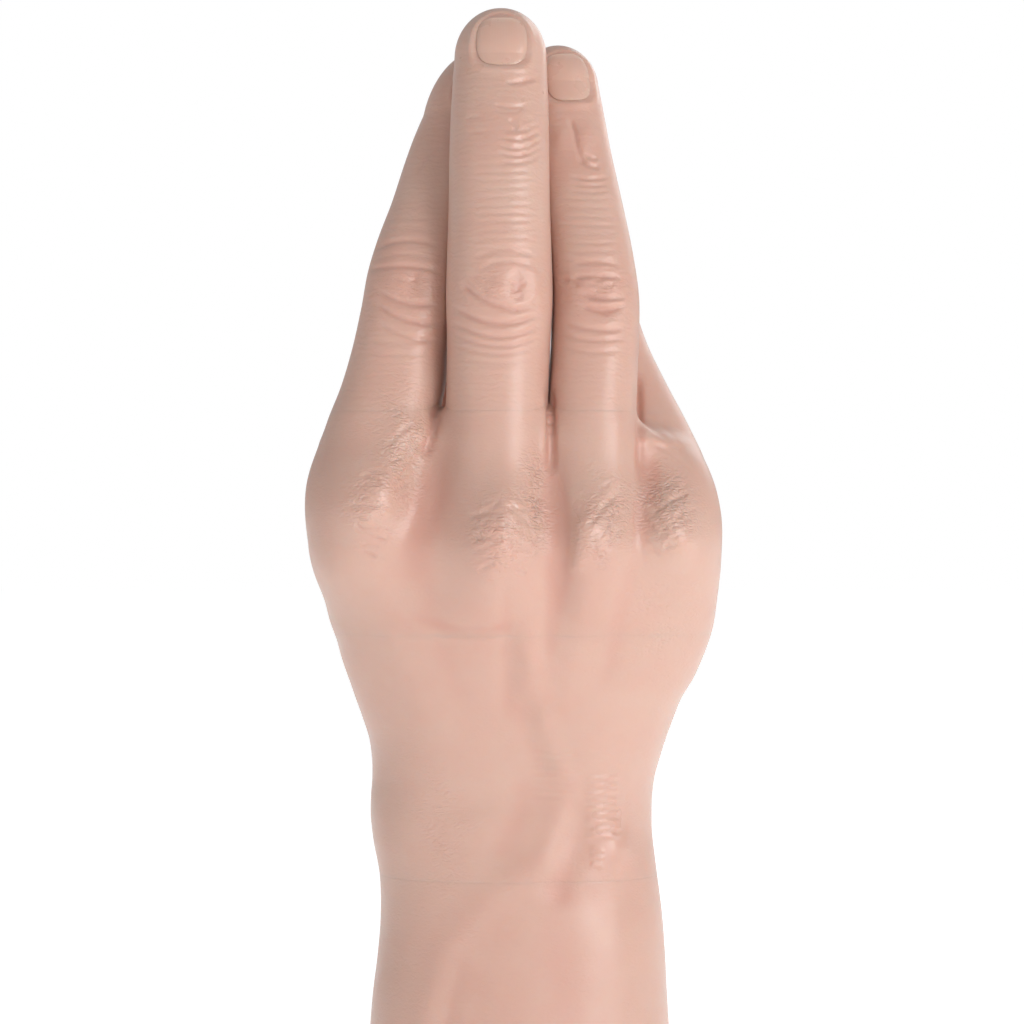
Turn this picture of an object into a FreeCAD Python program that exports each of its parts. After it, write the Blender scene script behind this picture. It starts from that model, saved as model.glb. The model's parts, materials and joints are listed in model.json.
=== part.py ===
"""A passive cosmetic prosthetic hand for the right side: a soft moulded skin over a jointed frame.

The frame of the model is in millimetres, +Z up along the forearm. The origin is on the wrist turning
axis, in the plane of the flat base. The back of the hand faces -Y, the thumb is on the -X side.
The forearm stump carries a friction wrist, the wrist carries a cast palm frame, and the palm frame
carries the four fingers on one knuckle shaft and the thumb on a pivot pin with a second hinge.
"""

import FreeCAD, Part

import math
import os

import Sketcher
from FreeCAD import Placement, Rotation, Vector

DOC = FreeCAD.newDocument("cosmetic_hand")
DIMS = DOC.addObject("Spreadsheet::Sheet", "dims")

# ---------------------------------------------------------------- driving dimensions, in mm

SIZES = {
    "skin_wall": 2.5,  # soft outer skin
    "soft_gap": 0.3,  # between two soft or cast pieces that only meet
    "turn_gap": 0.05,  # radial running clearance of every shaft and pin
    "seat_gap": 0.02,  # radial clearance of a part that is fixed in its hole
    "base_thickness": 4.0,
    "wrist_split": 80.0,  # height of the parting plane where the wrist turns
    "split_gap": 1.0,
    "palm_top": 137.0,  # the palm's soft parts end here, below the knuckle barrel
    # wrist unit
    "thread_radius": 5.19,  # minor radius of the M12 x 1.5 thread
    "insert_radius": 9.0,
    "insert_length": 20.0,
    "insert_flange": 13.0,
    "insert_flange_thickness": 3.0,
    "base_screw_radius": 2.0,
    "base_screw_length": 12.0,
    "base_screw_x": 16.0,
    "base_screw_y": 12.5,
    "core_bore": 13.0,
    "housing_bore": 9.0,
    "housing_length": 20.0,
    "housing_flange": 16.5,
    "housing_flange_thickness": 3.0,
    "spindle_thread": 6.0,
    "spindle_flange": 16.0,
    "spindle_flange_thickness": 4.0,
    "friction_thickness": 1.5,
    "spring_thickness": 1.2,
    "nut_thickness": 6.0,
    "nut_across": 20.0,
    # palm frame
    "foot_thickness": 5.0,
    "foot_half_width": 14.0,
    "foot_half_depth": 13.0,
    "web_half": 4.5,
    "neck_half": 3.7,  # the web is thinnest just under the knuckle shaft
    "neck_drop": 9.0,
    "web_thumb_side": 3.0,  # the casting's web stays clear of the thumb's ball
    "web_widens_at": 124.0,
    "frame_screw_radius": 1.75,
    "frame_screw_length": 7.0,
    "frame_screw_x": 9.0,
    "frame_screw_y": 9.5,
    # knuckle hinge: one straight shaft along X
    "knuckle_forward": 22.0,  # towards the back of the hand
    "knuckle_height": 147.0,
    "shaft_radius": 3.0,
    "shaft_half_length": 35.5,
    "barrel_radius": 6.5,
    "lug_width": 6.0,
    "washer_thickness": 1.0,
    "washer_play": 0.25,
    "index_lug_x": -17.0,
    "ring_lug_x": 4.8,
    "little_lug_x": 23.4,
    "shaft_nut_thickness": 2.5,
    "shaft_nut_radius": 5.0,
    "pad_radius": 15.5,
    "pad_bore": 11.0,
    "web_top": 166.0,  # the fingers part above this height
    "yoke_bar_height": 10.0,  # cross bar above the knuckle shaft
    "yoke_bar_thickness": 5.0,
    "yoke_bar_depth": 7.0,
    "yoke_leg_half": 3.0,
    # finger rods
    "rod_radius": 2.0,
    "rod_bend": 5.0,
    "rod_rise": 4.5,  # straight part of a rod above the cross bar's middle
    "rod_shift": 1.0,  # rods stand this far behind the knuckle shaft's axis
    "cap_radius": 3.2,
    "cap_length": 6.0,
    "set_screw_radius": 1.5,
    "nail_thickness": 0.8,
    # thumb
    "thumb_axis_angle": 12.0,  # degrees from -X towards -Y
    "thumb_pivot_x": -16.5,
    "thumb_pivot_y": 3.0,
    "thumb_pivot_z": 108.0,
    "thumb_swing": 40.0,  # degrees the thumb swings away from the fingers
    "thumb_arm_back": 6.0,  # second hinge seen from the first, away from the fingers
    "thumb_arm_rise": 35.0,
    "thumb_root_ball": 13.0,
    "thumb_hinge_ball": 11.5,
    "thenar_cut": 5.0,  # the thenar pad ends this far before the second hinge
    "thumb_pin_radius": 3.0,
    "thumb_barrel_radius": 6.0,
    "thumb_barrel_length": 12.0,
    "thumb_collar": 2.0,
    "thumb_boss_offset": 17.0,
    "thumb_boss_thickness": 5.0,
    "thumb_boss_half": 6.0,
    "thumb_boss_reach": 12.0,  # from the pivot pin into the web
    "lever_half": 3.5,
    "hinge_pin_radius": 2.0,
    "hinge_barrel_radius": 4.5,
    "hinge_barrel_length": 6.0,
    "hinge_ear": 2.5,
}

# Cross sections of forearm and palm: height, centre x, centre y, half width, half depth
ARM_STATIONS = {
    "cuff": (0.0, 0.5, 0.0, 33.0, 25.0),
    "stump": (25.0, 0.6, 0.0, 31.5, 24.0),
    "forearm": (50.0, 0.7, 0.0, 30.0, 23.0),
    "ulna": (76.0, 0.4, -0.5, 28.2, 21.0),
    "wrist": (98.0, -0.4, -1.5, 28.2, 19.5),
    "heel": (115.0, 1.2, -5.5, 33.0, 20.0),
    "palm": (131.0, 1.0, -12.5, 38.6, 19.0),
    "knuckle": (147.0, 0.0, -22.0, 40.4, 16.0),
}
# The soft web that joins the four fingers, from the knuckle shaft up
WEB_STATIONS = {
    "web_low": (147.0, -0.4, -22.0, 40.2, 15.0),
    "web_middle": (156.5, -0.8, -21.5, 40.2, 14.8),
    "web_high": (168.0, -1.4, -18.5, 36.6, 13.2),
}

# Cross sections of each finger, upwards: height, centre x, centre y, half width, half depth
FINGER_STATIONS = {
    "index": {
        "root": (152.0, -31.0, -20.5, 9.4, 10.8),
        "shaft": (172.0, -25.4, -18.0, 9.1, 9.8),
        "middle_joint": (197.0, -20.5, -13.0, 9.0, 9.2),
        "tip_joint": (223.0, -13.3, -2.6, 8.1, 8.0),
        "pulp": (237.0, -9.8, 2.3, 7.6, 7.1),
    },
    "middle": {
        "root": (152.0, -4.8, -22.3, 10.2, 11.4),
        "shaft": (172.0, -3.6, -23.0, 9.5, 10.6),
        "middle_joint": (194.5, -3.2, -22.5, 10.1, 10.2),
        "tip_joint": (223.0, -3.0, -17.5, 9.4, 9.0),
        "pulp": (243.0, -3.0, -11.5, 9.0, 7.7),
    },
    "ring": {
        "root": (152.0, 15.2, -21.5, 8.8, 10.8),
        "shaft": (172.0, 15.2, -21.0, 8.7, 9.7),
        "middle_joint": (193.5, 15.9, -18.0, 8.4, 8.9),
        "tip_joint": (221.0, 12.0, -7.4, 7.8, 7.9),
        "pulp": (238.0, 9.8, -1.0, 7.4, 6.9),
    },
    "little": {
        "root": (152.0, 31.6, -17.0, 7.7, 9.6),
        "shaft": (168.0, 27.8, -9.6, 7.6, 8.2),
        "middle_joint": (186.0, 20.2, -1.2, 7.4, 7.8),
        "tip_joint": (205.0, 14.2, 2.6, 7.0, 7.0),
        "pulp": (219.0, 11.0, 7.6, 6.6, 6.2),
    },
    "thumb": {
        "root": (149.0, -17.4, 8.8, 11.3, 11.0),
        "shaft": (160.0, -16.0, 8.8, 10.6, 10.2),
        "middle_joint": (174.0, -13.2, 9.2, 10.4, 9.8),
        "tip_joint": (189.0, -9.6, 7.4, 10.0, 9.0),
        "pulp": (199.0, -7.2, 5.0, 9.6, 8.3),
    },
}
FINGER_TOPS = {"index": 246.5, "middle": 253.0, "ring": 247.0, "little": 228.0, "thumb": 209.0}
# Nails: width, length, turn about the finger's own axis in degrees (0 faces the back of the hand)
NAILS = {
    "index": (10.0, 11.0, 16.0),
    "middle": (11.4, 12.5, 0.0),
    "ring": (10.4, 11.5, 14.0),
    "little": (8.6, 9.0, 20.0),
    "thumb": (12.5, 13.0, 180.0),
}
STATION_FIELDS = ("height", "x", "y", "half_width", "half_depth")
NAIL_FIELDS = ("nail_width", "nail_length", "nail_turn")
FINGERS = ("index", "middle", "ring", "little")


def fill_sheet():
    """Puts every driving dimension in the sheet, one alias each."""
    rows = dict(SIZES)
    for name, values in {**ARM_STATIONS, **WEB_STATIONS}.items():
        rows.update({f"{name}_{f}": v for f, v in zip(STATION_FIELDS, values)})
    for finger, stations in FINGER_STATIONS.items():
        for name, values in stations.items():
            rows.update({f"{finger}_{name}_{f}": v for f, v in zip(STATION_FIELDS, values)})
        rows[f"{finger}_top"] = FINGER_TOPS[finger]
        rows.update({f"{finger}_{f}": v for f, v in zip(NAIL_FIELDS, NAILS[finger])})
    for row, (alias, value) in enumerate(rows.items(), start=1):
        DIMS.set(f"A{row}", alias)
        DIMS.set(f"B{row}", str(value))
        DIMS.setAlias(f"B{row}", alias)
    DOC.recompute()


def size(expression):
    """A number worked out by the sheet, such as size("dims.skin_wall * 2")."""
    return float(DIMS.evalExpression(expression))


def station(name):
    """Height, centre x, centre y, half width and half depth of one named cross section."""
    return tuple(size(f"dims.{name}_{f}") for f in STATION_FIELDS)


# ---------------------------------------------------------------- helpers for bound features


def origin_plane(body, role):
    return next(f for f in body.Origin.OriginFeatures if f.Role == role)


def bind_place(obj, x="0", y="0", z="0"):
    """Binds an object's position to the sheet."""
    for axis, expression in zip("xyz", (x, y, z)):
        if expression != "0":
            obj.setExpression(f"Placement.Base.{axis}", expression)


def new_body(label):
    body = DOC.addObject("PartDesign::Body", label)
    body.Label = label
    return body


def polygon_sketch(body, role, polygons, circles=()):
    """A sketch of closed polygons and circles whose corners, centres and radii follow the sheet."""
    sketch = body.newObject("Sketcher::SketchObject", f"{body.Name}_sketch")
    sketch.AttachmentSupport = [(origin_plane(body, role), "")]
    sketch.MapMode = "FlatFace"

    def pin_point(geometry, position, u, v):
        for kind, axis, expression in (("DistanceX", -2, u), ("DistanceY", -1, v)):
            if expression == "0":
                rule = Sketcher.Constraint("PointOnObject", geometry, position, axis)
                sketch.addConstraint(rule)
                continue
            rule = Sketcher.Constraint(kind, -1, 1, geometry, position, size(expression))
            sketch.setExpression(f"Constraints[{sketch.addConstraint(rule)}]", expression)

    for corners in polygons:
        points = [Vector(size(u), size(v), 0) for u, v in corners]
        count = len(points)
        first = sketch.GeometryCount
        for i, point in enumerate(points):
            sketch.addGeometry(Part.LineSegment(point, points[(i + 1) % count]))
        for i in range(count):
            rule = Sketcher.Constraint("Coincident", first + i, 2, first + (i + 1) % count, 1)
            sketch.addConstraint(rule)
        for i, (u, v) in enumerate(corners):
            pin_point(first + i, 1, u, v)
    for u, v, radius in circles:
        circle = Part.Circle(Vector(size(u), size(v), 0), Vector(0, 0, 1), size(radius))
        index = sketch.addGeometry(circle)
        pin_point(index, 3, u, v)
        rule = sketch.addConstraint(Sketcher.Constraint("Radius", index, size(radius)))
        sketch.setExpression(f"Constraints[{rule}]", radius)
    DOC.recompute()
    return sketch


def pad(body, role, polygons, length, circles=(), midplane=True, feature="Pad"):
    """Pads, or pockets, a bound sketch by a bound length."""
    made = body.newObject(f"PartDesign::{feature}", f"{body.Name}_{feature.lower()}")
    made.Profile = polygon_sketch(body, role, polygons, circles)
    made.Midplane = midplane
    made.setExpression("Length", length)
    DOC.recompute()
    return made


def turned(label, corners, x="0", y="0", z="0"):
    """A body of revolution about its own Z axis. Each corner is (radius, height)."""
    body = new_body(label)
    sketch = polygon_sketch(body, "XZ_Plane", [corners])
    turn = body.newObject("PartDesign::Revolution", f"{label}_revolution")
    turn.Profile = sketch
    turn.ReferenceAxis = (sketch, ["V_Axis"])
    turn.Angle = 360
    bind_place(body, x, y, z)
    DOC.recompute()
    return body


def cylinder(label, radius, length, x="0", y="0", z="0"):
    made = DOC.addObject("Part::Cylinder", label)
    made.Label = label
    made.setExpression("Radius", radius)
    made.setExpression("Height", length)
    bind_place(made, x, y, z)
    return made


def block(label, length, width, height, x, y, z):
    made = DOC.addObject("Part::Box", label)
    for name, expression in (("Length", length), ("Width", width), ("Height", height)):
        made.setExpression(name, expression)
    bind_place(made, x, y, z)
    return made


def joined(label, base, tool, kind="Part::Cut"):
    """A Part boolean of two objects."""
    made = DOC.addObject(kind, label)
    made.Label = label
    made.Base = base
    made.Tool = tool
    DOC.recompute()
    return made


def plain(label, shape):
    """A sub-part whose shape is made with Part's own functions."""
    made = DOC.addObject("Part::Feature", label)
    made.Label = label
    made.Shape = shape
    return made


def group(label, shapes):
    """Identical pieces that share one node."""
    return plain(label, Part.makeCompound(shapes))


def moved(shape, x=0.0, y=0.0, z=0.0):
    copy = shape.copy()
    copy.translate(Vector(x, y, z))
    return copy


# ---------------------------------------------------------------- helpers for soft shapes

OUTLINE_POINTS = 12
FULLNESS = 2.2  # exponent of the cross section: 2 is an ellipse


def outline(height, x, y, half_width, half_depth):
    """A closed horizontal outline, a slightly squared ellipse, as one periodic curve."""
    points = []
    for i in range(OUTLINE_POINTS):
        angle = 2 * math.pi * i / OUTLINE_POINTS
        c, s = math.cos(angle), math.sin(angle)
        reach = (abs(c) ** FULLNESS + abs(s) ** FULLNESS) ** (-1 / FULLNESS)
        points.append(Vector(x + half_width * reach * c, y + half_depth * reach * s, height))
    curve = Part.BSplineCurve()
    curve.interpolate(Points=points, PeriodicFlag=True)
    return Part.Wire([curve.toShape()])


def slab(low, high, half=80.0):
    """A wide box between two heights, to slice long shapes."""
    return Part.makeBox(2 * half, 2 * half, high - low, Vector(-half, -half, low))


def eased(rows, pieces):
    """More cross sections between the given ones, on a smooth curve through them all."""
    slopes = []
    for i in range(len(rows)):
        before, after = rows[max(i - 1, 0)], rows[min(i + 1, len(rows) - 1)]
        rise = after[0] - before[0]
        slopes.append([(b - a) / rise for a, b in zip(before, after)])
    dense = [rows[0]]
    for (low, high), (slope_low, slope_high) in zip(zip(rows, rows[1:]), zip(slopes, slopes[1:])):
        span = high[0] - low[0]
        for k in range(1, pieces + 1):
            t = k / pieces
            weights = (2 * t**3 - 3 * t**2 + 1, t**3 - 2 * t**2 + t, 3 * t**2 - 2 * t**3, t**3 - t**2)
            dense.append(
                tuple(
                    weights[0] * a + weights[1] * span * u + weights[2] * b + weights[3] * span * v
                    for a, u, b, v in zip(low, slope_low, high, slope_high)
                )
            )
    return dense


def arm_envelope(inset=0.0):
    """The forearm and palm as one closed loft, taken in by inset."""
    rows = eased([station(name) for name in ARM_STATIONS], 3)
    wires = [outline(z, x, y, wide - inset, deep - inset) for z, x, y, wide, deep in rows]
    return Part.makeLoft(wires, True, False)


def finger_envelope(finger):
    """One finger as a closed loft with a rounded tip."""
    wires = [outline(*station(f"{finger}_{name}")) for name in FINGER_STATIONS[finger]]
    height, x, y, half_width, half_depth = station(f"{finger}_pulp")
    below, below_x, below_y = station(f"{finger}_tip_joint")[:3]
    rise = size(f"dims.{finger}_top") - height
    for degrees in (28, 52, 72, 84):
        sine, cosine = math.sin(math.radians(degrees)), math.cos(math.radians(degrees))
        share = rise * sine / (height - below) * 0.6
        wires.append(
            outline(
                height + rise * sine,
                x + (x - below_x) * share,
                y + (y - below_y) * share,
                half_width * cosine,
                half_depth * cosine,
            )
        )
    return Part.makeLoft(wires, True, False)


def along_x(radius, half_length, y, z, x=0.0):
    """A cylinder along X, centred on (x, y, z)."""
    return Part.makeCylinder(radius, 2 * half_length, Vector(x - half_length, y, z), Vector(1, 0, 0))


def rounded_path(points, bend):
    """Straight runs joined by tangent arcs of radius bend."""
    edges = []
    start = points[0]
    for before, corner, after in zip(points, points[1:], points[2:]):
        entry, leave = (before - corner).normalize(), (after - corner).normalize()
        half_turn = entry.getAngle(leave) / 2
        reach = bend / math.tan(half_turn)
        first, last = corner + entry * reach, corner + leave * reach
        inward = (entry + leave).normalize()
        middle = corner + inward * (bend / math.sin(half_turn) - bend)
        edges += [Part.LineSegment(start, first).toShape(), Part.Arc(first, middle, last).toShape()]
        start = last
    edges.append(Part.LineSegment(start, points[-1]).toShape())
    return Part.Wire(edges)


def rod_shape(points, radius, bend):
    """A round rod along a path of straight runs and arcs."""
    path = rounded_path(points, bend)
    start = path.Edges[0].valueAt(path.Edges[0].FirstParameter)
    direction = (points[1] - points[0]).normalize()
    profile = Part.Wire([Part.Circle(start, direction, radius).toShape()])
    return path.makePipeShell([profile], True, False)


def nail_shape(finger, thickness, grow=0.0):
    """A curved nail plate on the tip of a finger, a sector of a tube along the last bone."""
    height, x, y, half_width, half_depth = station(f"{finger}_pulp")
    below, below_x, below_y = station(f"{finger}_tip_joint")[:3]
    width = size(f"dims.{finger}_nail_width") + 2 * grow
    length = size(f"dims.{finger}_nail_length") + 2 * grow
    outer = half_width + thickness / 2
    tube = Part.makeCylinder(outer + grow, length, Vector(0, 0, -length / 2))
    tube = tube.cut(Part.makeCylinder(outer - thickness - grow, length, Vector(0, 0, -length / 2)))
    front = Part.makeBox(width, 2 * outer, length, Vector(-width / 2, -2 * outer, -length / 2))
    nail = tube.common(front)
    nail.rotate(Vector(0, 0, 0), Vector(0, 0, 1), size(f"dims.{finger}_nail_turn"))
    lean = Vector(x - below_x, y - below_y, height - below)
    turn = Rotation(Vector(0, 0, 1), lean)
    facing = turn.multVec(Rotation(Vector(0, 0, 1), size(f"dims.{finger}_nail_turn")).multVec(Vector(0, -1, 0)))
    nail.Placement = Placement(Vector(x, y, height), turn).multiply(nail.Placement)
    nail.translate(facing * (half_depth - half_width))
    return nail


# ---------------------------------------------------------------- forearm and wrist


def build_forearm():
    """Soft skin, rigid core, closing plate, threaded insert, screws and wrist housing."""
    split = size("dims.wrist_split")
    wall = size("dims.skin_wall")
    inset = wall + size("dims.soft_gap")
    below = slab(0, split)
    skin = arm_envelope().cut(arm_envelope(wall)).common(below)
    plain("forearm_skin", skin)

    plate_top = size("dims.base_thickness")
    seat_gap = size("dims.seat_gap")
    core = arm_envelope(inset).common(slab(plate_top, split))
    bore = Part.makeCylinder(size("dims.core_bore"), split)
    flange_seat = Part.makeCylinder(
        size("dims.housing_flange") + seat_gap,
        size("dims.housing_flange_thickness"),
        Vector(0, 0, split - size("dims.housing_flange_thickness")),
    )
    core = core.cut(bore).cut(flange_seat)
    screw_hole = Part.makeCylinder(size("dims.base_screw_radius") + seat_gap, size("dims.base_screw_length"))
    signs = [(1, 1), (-1, 1), (-1, -1), (1, -1)]
    spots = [(sx * size("dims.base_screw_x"), sy * size("dims.base_screw_y")) for sx, sy in signs]
    for x, y in spots:
        core = core.cut(moved(screw_hole, x, y, 0.0))
    plain("forearm_core", core)

    outline_curve = DOC.addObject("Part::Ellipse", "base_outline")
    outline_curve.setExpression("MajorRadius", "dims.cuff_half_width - dims.skin_wall - 2 * dims.soft_gap")
    outline_curve.setExpression("MinorRadius", "dims.cuff_half_depth - dims.skin_wall - 2 * dims.soft_gap")
    bind_place(outline_curve, x="dims.cuff_x", y="dims.cuff_y")
    disc = DOC.addObject("Part::Extrusion", "base_disc")
    disc.Base = outline_curve
    disc.DirMode = "Custom"
    disc.Dir = Vector(0, 0, 1)
    disc.Solid = True
    disc.setExpression("LengthFwd", "dims.base_thickness")
    plate = joined(
        "base_plate_bored",
        disc,
        cylinder("insert_hole", "dims.insert_radius + dims.seat_gap", "dims.base_thickness"),
    )
    flange_room = cylinder(
        "insert_flange_room",
        "dims.insert_flange + dims.seat_gap",
        "dims.insert_flange_thickness",
        z="dims.base_thickness - dims.insert_flange_thickness",
    )
    plate = joined("base_plate_seated", plate, flange_room)
    holes = []
    for number, (sx, sy) in enumerate(signs):
        cone = DOC.addObject("Part::Cone", f"countersink_{number}")
        cone.setExpression("Radius1", "dims.base_screw_radius * 2 + dims.seat_gap")
        cone.setExpression("Radius2", "dims.base_screw_radius + dims.seat_gap")
        cone.setExpression("Height", "dims.base_screw_radius + dims.seat_gap")
        shank = cylinder(f"plate_hole_{number}", "dims.base_screw_radius + dims.seat_gap", "dims.base_thickness")
        for part in (cone, shank):
            bind_place(part, f"dims.base_screw_x * {sx}", f"dims.base_screw_y * {sy}")
            holes.append(part)
    fused = DOC.addObject("Part::MultiFuse", "plate_holes")
    fused.Shapes = holes
    joined("base_plate", plate, fused)

    turned(
        "thread_insert",
        [
            ("dims.thread_radius", "0"),
            ("dims.insert_radius", "0"),
            ("dims.insert_radius", "dims.base_thickness - dims.insert_flange_thickness"),
            ("dims.insert_flange", "dims.base_thickness - dims.insert_flange_thickness"),
            ("dims.insert_flange", "dims.base_thickness"),
            ("dims.insert_radius", "dims.base_thickness"),
            ("dims.insert_radius", "dims.insert_length"),
            ("dims.thread_radius", "dims.insert_length"),
        ],
    )
    screw = turned(
        "base_screw",
        [
            ("0", "0"),
            ("dims.base_screw_radius * 2", "0"),
            ("dims.base_screw_radius", "dims.base_screw_radius"),
            ("dims.base_screw_radius", "dims.base_screw_length"),
            ("0", "dims.base_screw_length"),
        ],
    )
    group("base_screws", [moved(screw.Shape, x, y) for x, y in spots])
    turned(
        "wrist_housing",
        [
            ("dims.housing_bore", "0"),
            ("dims.core_bore - dims.seat_gap", "0"),
            ("dims.core_bore - dims.seat_gap", "dims.housing_length - dims.housing_flange_thickness"),
            ("dims.housing_flange", "dims.housing_length - dims.housing_flange_thickness"),
            ("dims.housing_flange", "dims.housing_length"),
            ("dims.housing_bore", "dims.housing_length"),
        ],
        z="dims.wrist_split - dims.housing_length",
    )
    return ["forearm_skin", "forearm_core", "base_plate", "thread_insert", "base_screws", "wrist_housing"]


def build_wrist():
    """The spindle that turns in the housing, with its friction disc, springs and nut."""
    under = "dims.wrist_split - dims.housing_length - dims.turn_gap"
    stack = "dims.friction_thickness + 2 * dims.spring_thickness"
    turned(
        "wrist_spindle",
        [
            ("0", "0"),
            ("dims.spindle_thread", "0"),
            ("dims.spindle_thread", f"dims.nut_thickness + {stack}"),
            ("dims.housing_bore - dims.turn_gap", f"dims.nut_thickness + {stack}"),
            (
                "dims.housing_bore - dims.turn_gap",
                f"dims.nut_thickness + {stack} + dims.turn_gap + dims.housing_length + dims.split_gap",
            ),
            (
                "dims.spindle_flange",
                f"dims.nut_thickness + {stack} + dims.turn_gap + dims.housing_length + dims.split_gap",
            ),
            (
                "dims.spindle_flange",
                f"dims.nut_thickness + {stack} + dims.turn_gap + dims.housing_length + dims.split_gap"
                " + dims.spindle_flange_thickness",
            ),
            (
                "0",
                f"dims.nut_thickness + {stack} + dims.turn_gap + dims.housing_length + dims.split_gap"
                " + dims.spindle_flange_thickness",
            ),
        ],
        z=f"{under} - dims.nut_thickness - ({stack})",
    )
    ring = [
        ("dims.spindle_thread + dims.seat_gap", "0"),
        ("dims.core_bore - 1.5", "0"),
        ("dims.core_bore - 1.5", "dims.friction_thickness"),
        ("dims.spindle_thread + dims.seat_gap", "dims.friction_thickness"),
    ]
    turned("wrist_friction_disc", ring, z=f"{under} - dims.friction_thickness")
    spring = turned(
        "disc_spring",
        [
            ("dims.spindle_thread + dims.seat_gap", "0"),
            ("dims.spindle_thread + 4", "dims.spring_thickness / 2"),
            ("dims.spindle_thread + 4", "dims.spring_thickness"),
            ("dims.spindle_thread + dims.seat_gap", "dims.spring_thickness / 2"),
        ],
        z=f"{under} - dims.friction_thickness - 2 * dims.spring_thickness",
    )
    flipped = spring.Shape.copy()
    flipped.rotate(Vector(0, 0, size(f"{under} - dims.friction_thickness - dims.spring_thickness")), Vector(1, 0, 0), 180)
    group("wrist_disc_springs", [spring.Shape, flipped])

    nut = new_body("wrist_nut")
    half = "dims.nut_across / 2"
    corner = "dims.nut_across / 2 * 1.1547"
    hexagon = [
        (corner, "0"),
        (f"{corner} / 2", half),
        (f"-{corner} / 2", half),
        (f"-{corner}", "0"),
        (f"-{corner} / 2", f"-{half}"),
        (f"{corner} / 2", f"-{half}"),
    ]
    bore = [("0", "0", "dims.spindle_thread + dims.seat_gap")]
    pad(nut, "XY_Plane", [hexagon], "dims.nut_thickness", bore, midplane=False)
    bind_place(nut, z=f"{under} - dims.nut_thickness - ({stack})")
    return ["wrist_spindle", "wrist_friction_disc", "wrist_disc_springs", "wrist_nut"]


# ---------------------------------------------------------------- palm frame and knuckle shaft

FRAME_FOOT = "dims.wrist_split + dims.split_gap + dims.spindle_flange_thickness"
LUGS = ("index_lug_x", "ring_lug_x", "little_lug_x")
PLAY = "dims.washer_thickness + 2 * dims.washer_play"


def thumb_placement():
    """The thumb's own frame: x along the pivot pin, y towards the fingers, z up."""
    base = Vector(*(size(f"dims.thumb_pivot_{axis}") for axis in "xyz"))
    return Placement(base, Rotation(Vector(0, 0, 1), 180 + size("dims.thumb_axis_angle")))


def barrel_spans():
    """The stretch of shaft that each finger's barrel has between two lugs."""
    end = "dims.shaft_half_length - dims.shaft_nut_thickness - dims.washer_play"
    edges = [f"-({end})"]
    for lug in LUGS:
        edges += [
            f"dims.{lug} - dims.lug_width / 2 - ({PLAY})",
            f"dims.{lug} + dims.lug_width / 2 + ({PLAY})",
        ]
    edges.append(end)
    return list(zip(edges[::2], edges[1::2]))


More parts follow.
